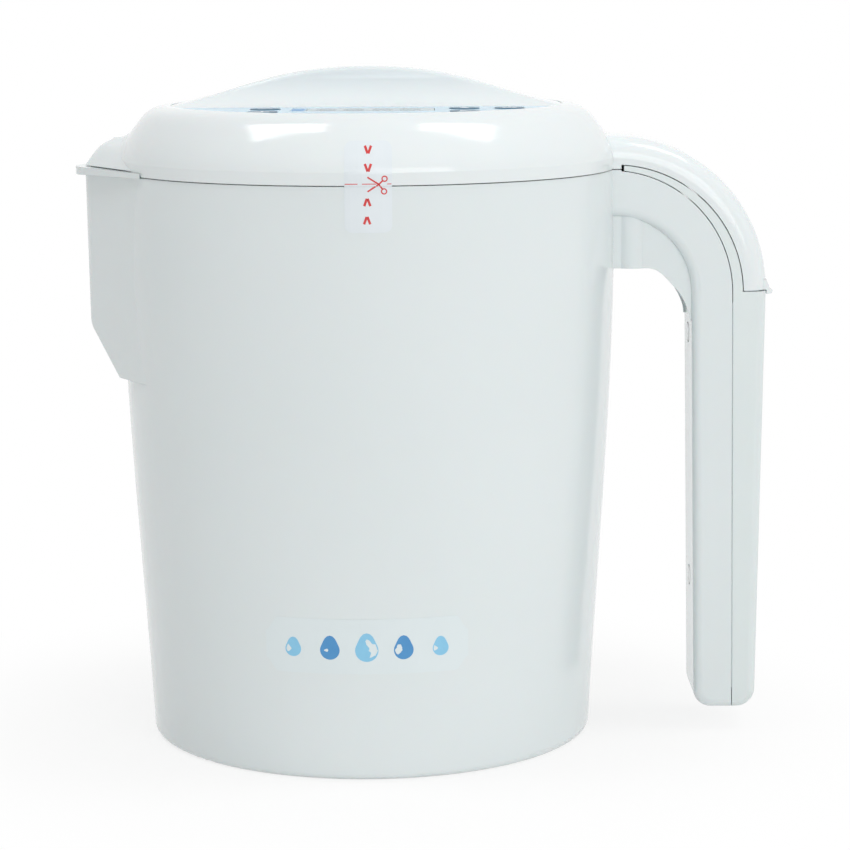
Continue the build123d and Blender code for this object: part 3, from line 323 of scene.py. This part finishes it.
def makeFinish(name):
    look = finishes[name]
    material = bpy.data.materials.new(name)
    material.use_nodes = True
    tree = material.node_tree
    tree.nodes.clear()
    place = addNode(tree, "ShaderNodeTexCoord")
    mapping = addNode(tree, "ShaderNodeMapping", {"Scale": look.get("stretch", (1, 1, 1))},
                      {"Vector": place.outputs["Object"]})
    patches = addNode(tree, "ShaderNodeTexNoise", {"Scale": 1 / (look["patchMm"] * mm), "Detail": 3.0},
                      {"Vector": mapping.outputs[0]})
    tone = addNode(tree, "ShaderNodeMix", {"data_type": "RGBA", 6: toLinear(look["colour"]),
                                           7: toLinear(look["other"])}, {0: patches.outputs["Fac"]})
    if look.get("sharpPatch"):
        steps = addNode(tree, "ShaderNodeMapRange", {"From Min": 0.48, "From Max": 0.52},
                        {"Value": patches.outputs["Fac"]})
        tree.links.new(steps.outputs[0], tone.inputs[0])
    grain = addNode(tree, "ShaderNodeTexNoise", {"Scale": 1 / (look["grainMm"] * mm), "Detail": 2.0},
                    {"Vector": mapping.outputs[0]})
    dull = addNode(tree, "ShaderNodeMapRange",
                   {"To Min": look["roughness"] - look["roughSpread"] / 2,
                    "To Max": look["roughness"] + look["roughSpread"] / 2}, {"Value": grain.outputs["Fac"]})
    relief = addNode(tree, "ShaderNodeBump", {"Distance": look["grainDepthMm"] * mm, "Strength": 1.0},
                     {"Height": grain.outputs["Fac"]})
    if "waveMm" in look:
        waves = addNode(tree, "ShaderNodeTexNoise", {"Scale": 1 / (look["waveMm"] * mm), "Detail": 0.0},
                        {"Vector": mapping.outputs[0]})
        flow = addNode(tree, "ShaderNodeBump", {"Distance": look["waveDepthMm"] * mm, "Strength": 1.0},
                       {"Height": waves.outputs["Fac"]})
        tree.links.new(flow.outputs[0], relief.inputs["Normal"])
    if "edgeMm" in look:
        edge = addNode(tree, "ShaderNodeBevel", {"samples": 4, "Radius": look["edgeMm"] * mm})
        tree.links.new(edge.outputs[0], (flow if "waveMm" in look else relief).inputs["Normal"])
    skin = addNode(tree, "ShaderNodeBsdfPrincipled", {
        "Metallic": look.get("metallic", 0.0),
        "Subsurface Weight": look.get("scatter", 0.0),
        "Subsurface Scale": 0.002,
        "Transmission Weight": look.get("transmission", 0.0),
    }, {"Base Color": tone.outputs[2], "Roughness": dull.outputs[0], "Normal": relief.outputs[0]})
    if "ior" in look:
        skin.inputs["IOR"].default_value = look["ior"]
    addNode(tree, "ShaderNodeOutputMaterial", None, {"Surface": skin.outputs[0]})
    return material


materials = {name: makeFinish(name) for name in finishes}

slotFinish = {
    "white_housing": "glossWhiteAbs", "white_lid": "lidAbsPaintedLighter", "white_cover": "sparkErodedAbs",
    "panel_film": "printedBlueFilm", "key_plastic": "tealKeyPlastic", "display_acrylic": "tintedAcrylic",
    "display_glass": "liquidCrystalCell", "circuit_board": "solderMaskBoard", "black_plastic": "blackPolyamide",
    "relay_plastic": "blueRelayCase", "switch_steel": "stampedTinnedSteel", "fuse_glass": "fuseGlass",
    "capacitor_sleeve": "shrinkSleeve", "heat_sink_metal": "extrudedAluminium", "screw_steel": "zincPlatedSteel",
    "contact_metal": "nickelPlatedBrass", "electrode_metal": "platinisedTitanium", "stainless": "rolledStainless",
    "seal_rubber": "milkySilicone", "lead_sheath": "redSiliconeSheath", "vessel_plastic": "naturalPolypropylene",
    "diaphragm_cloth": "pressedNonWoven",
}
for part in frame["record"]["subparts"]:
    slots = nodes[part["node"]].data.materials
    slots.clear()
    slots.append(materials[slotFinish[part["material_slot"]]])
print("finishes made:", len(materials))


def addObject(name, shape, finish):
    # turns finished faces into an object with one material
    bmesh.ops.recalc_face_normals(shape, faces=shape.faces)
    mesh = bpy.data.meshes.new(name)
    shape.to_mesh(mesh)
    shape.free()
    piece = bpy.data.objects.new(name, mesh)
    bpy.context.scene.collection.objects.link(piece)
    mesh.materials.append(materials[finish])
    return piece


def film(name, points, faces, place, lift, thickness, finish, body, slotName):
    # a thin closed skin: points are flat, place() puts each on the surface at a height above it
    shape = bmesh.new()
    high = [shape.verts.new(place(p, lift + thickness)) for p in points]
    low = [shape.verts.new(place(p, lift)) for p in points]
    edgeCount = {}
    for face in faces:
        shape.faces.new([high[i] for i in face])
        shape.faces.new([low[i] for i in reversed(face)])
        for a, b in zip(face, face[1:] + face[:1]):
            edgeCount[(a, b)] = edgeCount.get((a, b), 0) + 1
    for a, b in list(edgeCount):
        if (b, a) not in edgeCount:
            shape.faces.new([high[b], high[a], low[a], low[b]])
    piece = addObject(name, shape, finish)
    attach(piece, body)


def surfaceOf(node):
    mesh = nodes[node].data
    return BVHTree.FromPolygons([v.co for v in mesh.vertices], [p.vertices for p in mesh.polygons])


def onFront(node, lowest, highest):
    # puts a flat point (x, z) on the -Y face of a node, which it carries on past the node's own edge
    tree = surfaceOf(node)

    def place(point, height):
        level = min(max(point[1], lowest), highest)
        spot, normal, _, _ = tree.ray_cast(Vector((point[0], -0.3, level)), Vector((0, 1, 0)))
        return spot + normal * height + Vector((0, 0, point[1] - level))

    return place


onJug = onFront("jug_body", 0, 195.3 * mm)
onLid = onFront("lid_shell", 195.8 * mm, 1)


def gridPatch(x0, x1, z0, z1, columns, rows, radius, corners):
    # a rectangle in cells, whose chosen corners are pulled in to a radius
    points, faces = [], []
    for j in range(rows + 1):
        for i in range(columns + 1):
            points.append([x0 + (x1 - x0) * i / columns, z0 + (z1 - z0) * j / rows])
    for j in range(rows):
        for i in range(columns):
            a = j * (columns + 1) + i
            faces.append([a, a + 1, a + columns + 2, a + columns + 1])
    for cx, sx, cz, sz in corners:
        middle = Vector((cx - sx * radius, cz - sz * radius))
        for p in points:
            dx, dz = (p[0] - middle.x) * sx, (p[1] - middle.y) * sz
            if dx > 0 and dz > 0:
                reach = math.hypot(dx, dz)
                square = max(dx, dz)
                p[0] = middle.x + sx * dx * square / reach
                p[1] = middle.y + sz * dz * square / reach
    return points, faces


# Seal across the lid seam, cut along the seam so that the lid can lift, with plain red marks
seal = {
    "x0": -5.6 * mm, "x1": 9.4 * mm, "low": 180.9 * mm, "high": 209.5 * mm,
    "seamLow": 195.53 * mm, "seamHigh": 195.57 * mm, "corner": 2.5 * mm,
    "lift": 0.02, "thickness": 0.1, "ink": 0.02, "columns": 24, "rows": 22,
    # arrows that point at the seam: x, tip height, size, way
    "arrows": [(1.9, 205.3, 2.7, 1), (1.9, 199.8, 2.7, 1), (1.6, 192.0, 2.7, -1), (1.5, 186.3, 2.7, -1)],
    "arrowWidth": 0.78, "arrowSpread": 0.36, "arrowTipSpread": 0.1, "arrowTipRise": 0.12,
    "dashes": [(-5.4, -1.4), (0.0, 4.4), (7.9, 9.2)], "dashHeight": 196.25, "dashWidth": 0.26,
    # open scissors: handle rings, where the blades cross, their tips
    "ringsAt": [(7.1, 197.9), (6.9, 193.9)], "ringRadius": 0.8, "crossAt": (5.3, 196.15),
    "tips": [(1.7, 198.4), (1.7, 193.8)], "bladeWidth": 0.5, "ringWidthShare": 0.8,
    "cutMargin": 0.03,
}


def ribbon(centres, halves, closed=False):
    # a flat band along a line, in millimetres, with its own half width at each point
    points, faces = [], []
    count = len(centres)
    for i, centre in enumerate(centres):
        before = centres[i - 1] if i or closed else centre
        after = centres[(i + 1) % count] if i < count - 1 or closed else centre
        along = (after - before).normalized()
        across = Vector((-along.y, along.x))
        for side in (-1, 0, 1):
            p = centre + across * halves[i] * side
            points.append([p.x * mm, p.y * mm])
    for i in range(count if closed else count - 1):
        for j in range(2):
            a, b = i * 3 + j, (i + 1) % count * 3 + j
            faces.append([a, b, b + 1, a + 1])
    return points, faces


def line(start, end, width, steps=6):
    start, end = Vector(start), Vector(end)
    return ribbon([start.lerp(end, i / steps) for i in range(steps + 1)], [width / 2] * (steps + 1))


def circle(middle, radius, width, steps=28):
    turns = [2 * math.pi * i / steps for i in range(steps)]
    return ribbon([Vector(middle) + radius * Vector((math.cos(t), math.sin(t))) for t in turns],
                  [width / 2] * steps, True)


def buildSeal():
    x0, x1 = seal["x0"], seal["x1"]
    for name, place, z0, z1, cornerZ, side, body in (
        ("sealLower", onJug, seal["low"], seal["seamLow"], seal["low"], -1, "jug"),
        ("sealUpper", onLid, seal["seamHigh"], seal["high"], seal["high"], 1, "lid"),
    ):
        corners = [(x0, -1, cornerZ, side), (x1, 1, cornerZ, side)]
        points, faces = gridPatch(x0, x1, z0, z1, seal["columns"], seal["rows"], seal["corner"], corners)
        film(name, points, faces, place, seal["lift"] * mm, seal["thickness"] * mm, "milkyVinyl", body,
             "panel_film")

    inkLift = (seal["lift"] + seal["thickness"]) * mm
    ink = seal["ink"] * mm

    def mark(name, shape, upper):
        place, body = (onLid, "lid") if upper else (onJug, "jug")
        film(name, *shape, place, inkLift, ink, "redPrint", body, "panel_film")

    for i, (x, tip, size, way) in enumerate(seal["arrows"]):
        for side in (-1, 1):
            arm = line((x + side * size * seal["arrowSpread"], tip + way * size),
                       (x + side * seal["arrowTipSpread"], tip + way * size * seal["arrowTipRise"]),
                       seal["arrowWidth"])
            mark(f"sealArrow{i + 1}{'Left' if side < 0 else 'Right'}", arm, way > 0)
    for i, (start, end) in enumerate(seal["dashes"]):
        z = seal["dashHeight"]
        mark(f"sealDash{i + 1}", line((start, z), (end, z), seal["dashWidth"]), True)

    # each blade runs from its handle through the crossing to its tip; its middle line stops short of the cut on
    # both sides, while the corners of its square ends may pass it
    cross = Vector(seal["crossAt"])
    cutHigh, cutLow = seal["seamHigh"] / mm + seal["cutMargin"], seal["seamLow"] / mm - seal["cutMargin"]

    def stroke(name, start, end):
        start, end = (start, end) if start.y > end.y else (end, start)
        if start.y > cutHigh:
            stop = start.lerp(end, min(1.0, (start.y - cutHigh) / (start.y - end.y)))
            mark(name + "Upper", line(start, stop, seal["bladeWidth"]), True)
        if end.y < cutLow:
            stop = end.lerp(start, min(1.0, (cutLow - end.y) / (start.y - end.y)))
            mark(name + "Lower", line(end, stop, seal["bladeWidth"]), False)

    for i, ringAt in enumerate(seal["ringsAt"]):
        ring = Vector(ringAt)
        handle = circle(ring, seal["ringRadius"], seal["bladeWidth"] * seal["ringWidthShare"])
        mark(f"scissorRing{i + 1}", handle, i == 0)
        stroke(f"scissorShank{i + 1}", ring + (cross - ring).normalized() * seal["ringRadius"], cross)
        stroke(f"scissorBlade{i + 1}", cross, Vector(seal["tips"][1 - i]))


buildSeal()
print("seal placed")


# Printed sticker low on the front: a plain row of drops in two blues on an oblong clear film
sticker = {
    "thickness": 0.06 * mm, "ink": 0.02 * mm, "lift": 0.02 * mm,
    # the clear film's outline in millimetres: x, low, high
    "outline": [(-33, 41, 50), (-29, 36.5, 55), (29, 36.5, 55), (33, 41, 50)],
    # x, height, radius, finish
    "drops": [(-24, 44.5, 2.6, "paleBluePrint"), (-12, 44.5, 3.2, "bluePrint"), (0, 44.5, 3.8, "paleBluePrint"),
              (12, 44.5, 3.2, "bluePrint"), (24, 44.5, 2.6, "paleBluePrint")],
    "dropSides": 32, "dropSwell": 0.55, "dropPower": 6, "columns": 72, "layers": 20,
    # one name for all the drops: Blender numbers the later ones
    "dropName": "stickerDrop32",
}


def between(rows, x, column):
    # smooth value of one column of the outline at x
    for a, b in zip(rows, rows[1:]):
        if x <= b[0]:
            t = (x - a[0]) / (b[0] - a[0])
            t = t * t * (3 - 2 * t)
            return a[column] + (b[column] - a[column]) * t
    return rows[-1][column]


def drop(middle, radius, sides, swell, power):
    # a fan round its middle, in millimetres, drawn out to a tip at the top
    points, faces = [[middle.x * mm, middle.y * mm]], []
    for i in range(sides):
        angle = 2 * math.pi * i / sides
        reach = radius * (1 + swell * max(0.0, math.sin(angle)) ** power)
        points.append([(middle.x + reach * math.cos(angle)) * mm, (middle.y + reach * math.sin(angle)) * mm])
        faces.append([0, i + 1, (i + 1) % sides + 1])
    return points, faces


def buildSticker():
    rows = sticker["outline"]
    columns, layers = sticker["columns"], sticker["layers"]
    points, faces = [], []
    for i in range(columns + 1):
        x = rows[0][0] + (rows[-1][0] - rows[0][0]) * i / columns
        low, high = between(rows, x, 1), between(rows, x, 2)
        for j in range(layers + 1):
            points.append([x * mm, (low + (high - low) * j / layers) * mm])
    for i in range(columns):
        for j in range(layers):
            a = i * (layers + 1) + j
            faces.append([a, a + layers + 1, a + layers + 2, a + 1])
    film("stickerFilm", points, faces, onJug, sticker["lift"], sticker["thickness"], "clearPolyester", "jug",
         "panel_film")
    inkLift = sticker["lift"] + sticker["thickness"]
    for x, z, radius, finish in sticker["drops"]:
        shape = drop(Vector((x, z)), radius, sticker["dropSides"], sticker["dropSwell"], sticker["dropPower"])
        film(sticker["dropName"], *shape, onJug, inkLift, sticker["ink"], finish, "jug", "panel_film")


buildSticker()
print("sticker placed")


# Control panel: white signs on the keys, a blue bar beside the display and its unlit segments
panel = {
    "ink": 0.02 * mm, "signWidth": 0.8, "signReach": 2.4,
    "bar": (-24.0, -19.7, -44.6, -27.4),
    "digitsAt": (-12.5, -3.5, 6.0, 15.0), "digitMiddle": -36.0, "digitWidth": 5.6, "digitHeight": 10.4,
    "segmentWidth": 1.1, "segmentGap": 0.45, "segmentTip": 0.05,
}


def onTop(node):
    # puts a flat point (x, y) on the highest face of a flat-topped node
    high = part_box(node)[1][2]

    def place(point, height):
        return Vector((point[0], point[1], high + height))

    return place


def buildSigns():
    width, reach = panel["signWidth"], panel["signReach"]

    def sign(name, shape, key):
        film(name, *shape, onTop("key_" + key), 0, panel["ink"], "whitePrint", key + " key", "panel_film")

    def middleOf(key):
        low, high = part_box("key_" + key)
        return Vector(((low[0] + high[0]) / 2 / mm, (low[1] + high[1]) / 2 / mm))

    across, up = Vector((reach, 0)), Vector((0, reach))
    m = middleOf("minus")
    sign("signMinus", line(m - across, m + across, width), "minus")
    m = middleOf("plus")
    sign("signPlusAcross", line(m - across, m + across, width), "plus")
    sign("signPlusUpper", line(m + up * width / 2 / reach, m + up, width), "plus")
    sign("signPlusLower", line(m - up, m - up * width / 2 / reach, width), "plus")
    m = middleOf("mode")
    sign("signDrop", drop(m - up * 0.2, reach * 0.62, 28, 0.75, 8), "mode")
    m = middleOf("start")
    shares = (0, 0.25, 0.5, 0.75, 1)
    halves = [reach * 0.85 * (1 - t) + 0.02 for t in shares]
    sign("signStart", ribbon([m + across * (t * 1.6 - 0.7) for t in shares], halves), "start")
    m = middleOf("power")
    turns = [math.radians(120 + 300 * i / 30) for i in range(31)]
    ring = ribbon([m + reach * 0.85 * Vector((math.cos(t), math.sin(t))) for t in turns], [width / 2] * 31)
    sign("signPowerRing", ring, "power")
    sign("signPowerBar", line(m + up * 0.25, m + up * 1.1, width), "power")


def buildDisplay():
    x0, x1, y0, y1 = panel["bar"]
    bar = line((x0, (y0 + y1) / 2), (x1, (y0 + y1) / 2), y1 - y0)
    film("panelBar", *bar, onTop("control_panel"), 0, panel["ink"], "bluePrint", "lid", "panel_film")
    half, tall, wide = panel["digitWidth"] / 2, panel["digitHeight"] / 2, panel["segmentWidth"]
    gap = panel["segmentGap"]
    for i, x in enumerate(panel["digitsAt"]):
        m = Vector((x, panel["digitMiddle"]))
        strokes = [((-half, y), (half, y)) for y in (-tall, 0, tall)]
        strokes += [((side, y), (side, y + tall)) for side in (-half, half) for y in (-tall, 0)]
        for j, (a, b) in enumerate(strokes):
            a, b = m + Vector(a), m + Vector(b)
            along = (b - a).normalized()
            a, b = a + along * gap, b - along * gap
            taper = [panel["segmentTip"], wide / 2, wide / 2, panel["segmentTip"]]
            ends = [a, a + along * wide / 2, b - along * wide / 2, b]
            film(f"segment{i + 1}{'abcdefg'[j]}", *ribbon(ends, taper), onTop("display_window"), 0, panel["ink"],
                 "unlitSegment", "lid", "display_acrylic")


buildSigns()
buildDisplay()
print("panel printed")


# The cover's tongue, which shows as a fine pale line down the grip's seam and under the tail
tongue = {
    "high": 150.0, "low": 15.0, "xHigh": 124.50, "xLow": 125.66, "half": 0.10, "face": 15.84, "depth": 1.0,
    "steps": 12,
    "ledge": (128.9, 133.4, 153.79, 153.95, 15.62),
}


def buildTongue():
    for name, way in (("tongueFront", -1), ("tongueRear", 1)):
        shape = bmesh.new()
        rings = []
        for i in range(tongue["steps"] + 1):
            t = i / tongue["steps"]
            z = tongue["low"] + (tongue["high"] - tongue["low"]) * t
            x = tongue["xLow"] + (tongue["xHigh"] - tongue["xLow"]) * t
            half, faceY, backY = tongue["half"], way * tongue["face"], way * (tongue["face"] - tongue["depth"])
            section = ((-half, faceY), (half, faceY), (half, backY), (-half, backY))
            rings.append([shape.verts.new(Vector((x + dx, y, z)) * mm) for dx, y in section])
        for a, b in zip(rings, rings[1:]):
            for j in range(4):
                shape.faces.new([a[j], a[(j + 1) % 4], b[(j + 1) % 4], b[j]])
        shape.faces.new(rings[0])
        shape.faces.new(rings[-1])
        x0, x1, z0, z1, y = tongue["ledge"]
        corners = [shape.verts.new(Vector((x, way * depth, z)) * mm)
                   for z in (z0, z1) for x, depth in ((x0, y), (x1, y - 1.2), (x1, y - 2.4), (x0, y - 1.6))]
        for a, b, c, d in ((0, 1, 2, 3), (4, 5, 6, 7), (0, 1, 5, 4), (1, 2, 6, 5), (2, 3, 7, 6), (3, 0, 4, 7)):
            shape.faces.new([corners[k] for k in (a, b, c, d)])
        piece = addObject(name, shape, "glossWhiteAbs")
        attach(piece, "jug")


buildTongue()
print("seam tongue laid")


# White caps that close the screw ways in the grip's inner face and carry its surface on
caps = {
    "heights": (52.0, 138.0), "radius": 3.6, "stem": 3.1, "length": 1.6, "proud": 0.03, "step": 0.02,
    "sides": 40, "rings": 5, "castFrom": 100,
}


def buildCaps():
    tree = surfaceOf("jug_body")
    shape = bmesh.new()
    sides, radius, stem = caps["sides"], caps["radius"], caps["stem"]
    turns = [2 * math.pi * i / sides for i in range(sides)]
    for z in caps["heights"]:
        rim = [tree.ray_cast(Vector((caps["castFrom"], radius * math.cos(t), z + radius * math.sin(t))) * mm,
                             Vector((1, 0, 0)))[0].x / mm - caps["proud"] for t in turns]
        middle = sum(rim) / sides

        def loop(share, size, back):
            return [shape.verts.new(Vector((middle + (x - middle) * share + back, size * math.cos(t),
                                            z + size * math.sin(t))) * mm) for t, x in zip(turns, rim)]

        loops = [loop(i / caps["rings"], radius * i / caps["rings"], 0) for i in range(1, caps["rings"] + 1)]
        loops += [loop(1, stem, caps["proud"] + caps["step"]), loop(1, stem, caps["length"])]
        for inner, outer in zip(loops, loops[1:]):
            for i in range(sides):
                face = shape.faces.new([inner[i], inner[(i + 1) % sides], outer[(i + 1) % sides], outer[i]])
                face.smooth = outer in loops[:caps["rings"]]
        shape.faces.new(loops[0])
        shape.faces.new(loops[-1])
    piece = addObject("screwCaps", shape, "glossWhiteAbs")
    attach(piece, "jug")


buildCaps()
print("screw caps set")


# Screws with a cross recess and a thread. One tree sets them all out, each turned by chance as a hand leaves it.
screws = {
    "recess": 0.62, "recessReach": 0.62, "recessDepth": 1.3, "threadDepth": 0.18, "seed": 7, "sides": 24,
    "kinds": [
        {"name": "lidScrews", "node": "lid_screws", "body": "lid", "finish": "rolledStainless", "slot": "stainless",
         "along": (0, 0, 1), "head": 3.0, "headHeight": 2.2, "shank": 1.5, "length": 13.0, "pitch": 1.25,
         "seats": [(x, y, 195.7) for x, y in (
             (60.62, 35), (0, 70), (-60.62, 35), (-60.62, -35), (0, -70), (60.62, -35))]},
        {"name": "handleScrews", "node": "handle_screws", "body": "jug", "finish": "zincPlatedSteel",
         "slot": "screw_steel", "along": (1, 0, 0), "head": 3.0, "headHeight": 2.2, "shank": 1.5, "length": 14.0,
         "pitch": 1.25, "seats": [(115.4, 0, 52.0), (114.2, 0, 138.0)]},
        {"name": "boardScrews", "node": "board_screws", "body": "lid", "finish": "zincPlatedSteel",
         "slot": "screw_steel", "along": (0, 0, 1), "head": 2.75, "headHeight": 1.8, "shank": 1.25, "length": 5.3,
         "pitch": 1.0, "seats": [(x, y, 207.2) for x in (-45.95, 45.95) for y in (-50, 8)]},
    ],
}


def screwShape(kind):
    # seat at the origin, head below it, shank above; the recess is cut into the head
    sides = screws["sides"]
    head, tall, shank, length = kind["head"], kind["headHeight"], kind["shank"], kind["length"]
    profile = [(head * 0.72, -tall), (head * 0.93, -tall * 0.82), (head, -tall * 0.5), (head, -0.05)]
    rings = int(length / kind["pitch"] * 4)
    shape = bmesh.new()
    loops = [[shape.verts.new(Vector((r * math.cos(t), r * math.sin(t), z)) * mm)
              for t in (2 * math.pi * i / sides for i in range(sides))] for r, z in profile]
    for j in range(rings + 1):
        z = length * j / rings
        loop = []
        for i in range(sides):
            t = 2 * math.pi * i / sides
            phase = (z / kind["pitch"] - i / sides) % 1
            point = min(1.0, (length - z) / (1.6 * kind["shank"]) + 0.15)
            r = (shank - screws["threadDepth"] * abs(2 * phase - 1) * 2) * point if j else shank
            loop.append(shape.verts.new(Vector((r * math.cos(t), r * math.sin(t), z)) * mm))
        loops.append(loop)
    for low, high in zip(loops, loops[1:]):
        for i in range(sides):
            shape.faces.new([low[i], low[(i + 1) % sides], high[(i + 1) % sides], high[i]])
    shape.faces.new(loops[0][::-1])
    shape.faces.new(loops[-1])
    bmesh.ops.recalc_face_normals(shape, faces=shape.faces)
    mesh = bpy.data.meshes.new(kind["name"] + "Shape")
    shape.to_mesh(mesh)
    shape.free()

    cutter = bmesh.new()
    reach, half, depth = head * screws["recessReach"], screws["recess"] / 2, screws["recessDepth"]
    outline = [(reach, -half), (reach, half), (half, half), (half, reach), (-half, reach), (-half, half),
               (-reach, half), (-reach, -half), (-half, -half), (-half, -reach), (half, -reach), (half, -half)]
    low = [cutter.verts.new(Vector((x, y, -tall - 0.5)) * mm) for x, y in outline]
    high = [cutter.verts.new(Vector((x * 0.6, y * 0.6, -tall + depth)) * mm) for x, y in outline]
    for i in range(12):
        cutter.faces.new([low[i], low[(i + 1) % 12], high[(i + 1) % 12], high[i]])
    cutter.faces.new(low[::-1])
    cutter.faces.new(high)
    bmesh.ops.recalc_face_normals(cutter, faces=cutter.faces)
    cutMesh = bpy.data.meshes.new("recessShape")
    cutter.to_mesh(cutMesh)
    cutter.free()
    whole = bpy.data.objects.new(kind["name"] + "Shape", mesh)
    cross = bpy.data.objects.new("recess", cutMesh)
    for thing in (whole, cross):
        bpy.context.scene.collection.objects.link(thing)
    cut = whole.modifiers.new("cut", "BOOLEAN")
    cut.operation = "DIFFERENCE"
    cut.solver = "EXACT"
    cut.object = cross
    result = bpy.data.meshes.new_from_object(whole.evaluated_get(bpy.context.evaluated_depsgraph_get()))
    whole.modifiers.remove(cut)
    whole.data = result
    bpy.data.objects.remove(cross)
    return whole


def screwTree():
    # a copy of the screw on each point, its own turn about its axis
    tree = bpy.data.node_groups.new("screwsOnPoints", "GeometryNodeTree")
    sockets = {}
    for name, kind in (
        ("Points", "NodeSocketGeometry"), ("Screw", "NodeSocketObject"), ("Axis", "NodeSocketVector"),
        ("Seed", "NodeSocketInt"), ("Finish", "NodeSocketMaterial"),
    ):
        sockets[name] = tree.interface.new_socket(name, in_out="INPUT", socket_type=kind).identifier
    tree.interface.new_socket("Screws", in_out="OUTPUT", socket_type="NodeSocketGeometry")
    given = addNode(tree, "NodeGroupInput")
    seats = addNode(tree, "GeometryNodeMeshToPoints", None, {"Mesh": given.outputs["Points"]})
    shape = addNode(tree, "GeometryNodeObjectInfo", None, {"Object": given.outputs["Screw"]})
    upright = addNode(tree, "FunctionNodeAlignRotationToVector", {"axis": "Z"}, {"Vector": given.outputs["Axis"]})
    chance = addNode(tree, "FunctionNodeRandomValue", {"data_type": "FLOAT", 2: 0.0, 3: 2 * math.pi},
                     {"Seed": given.outputs["Seed"]})
    spin = addNode(tree, "FunctionNodeAxisAngleToRotation", {"Axis": (0, 0, 1)}, {"Angle": chance.outputs[1]})
    turned = addNode(tree, "FunctionNodeRotateRotation", {"rotation_space": "LOCAL"},
                     {"Rotation": upright.outputs[0], "Rotate By": spin.outputs[0]})
    copies = addNode(tree, "GeometryNodeInstanceOnPoints", None, {
        "Points": seats.outputs[0], "Instance": shape.outputs["Geometry"], "Rotation": turned.outputs[0]})
    real = addNode(tree, "GeometryNodeRealizeInstances", None, {"Geometry": copies.outputs[0]})
    painted = addNode(tree, "GeometryNodeSetMaterial", None,
                      {"Geometry": real.outputs[0], "Material": given.outputs["Finish"]})
    result = addNode(tree, "NodeGroupOutput")
    tree.links.new(painted.outputs[0], result.inputs[0])
    return tree, sockets


def buildScrews():
    tree, sockets = screwTree()
    for kind in screws["kinds"]:
        shape = screwShape(kind)
        mesh = bpy.data.meshes.new(kind["name"])
        mesh.from_pydata([Vector(seat) * mm for seat in kind["seats"]], [], [])
        piece = bpy.data.objects.new(kind["name"], mesh)
        bpy.context.scene.collection.objects.link(piece)
        layout = piece.modifiers.new("layout", "NODES")
        layout.node_group = tree
        layout[sockets["Screw"]] = shape
        layout[sockets["Axis"]] = kind["along"]
        layout[sockets["Seed"]] = screws["seed"]
        layout[sockets["Finish"]] = materials[kind["finish"]]
        result = bpy.data.meshes.new_from_object(piece.evaluated_get(bpy.context.evaluated_depsgraph_get()))
        piece.modifiers.remove(layout)
        piece.data = result
        bpy.data.objects.remove(shape)
        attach(piece, kind["body"])
        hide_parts(kind["node"])
        print(kind["name"], len(result.polygons), "faces")


buildScrews()
print("screws set")
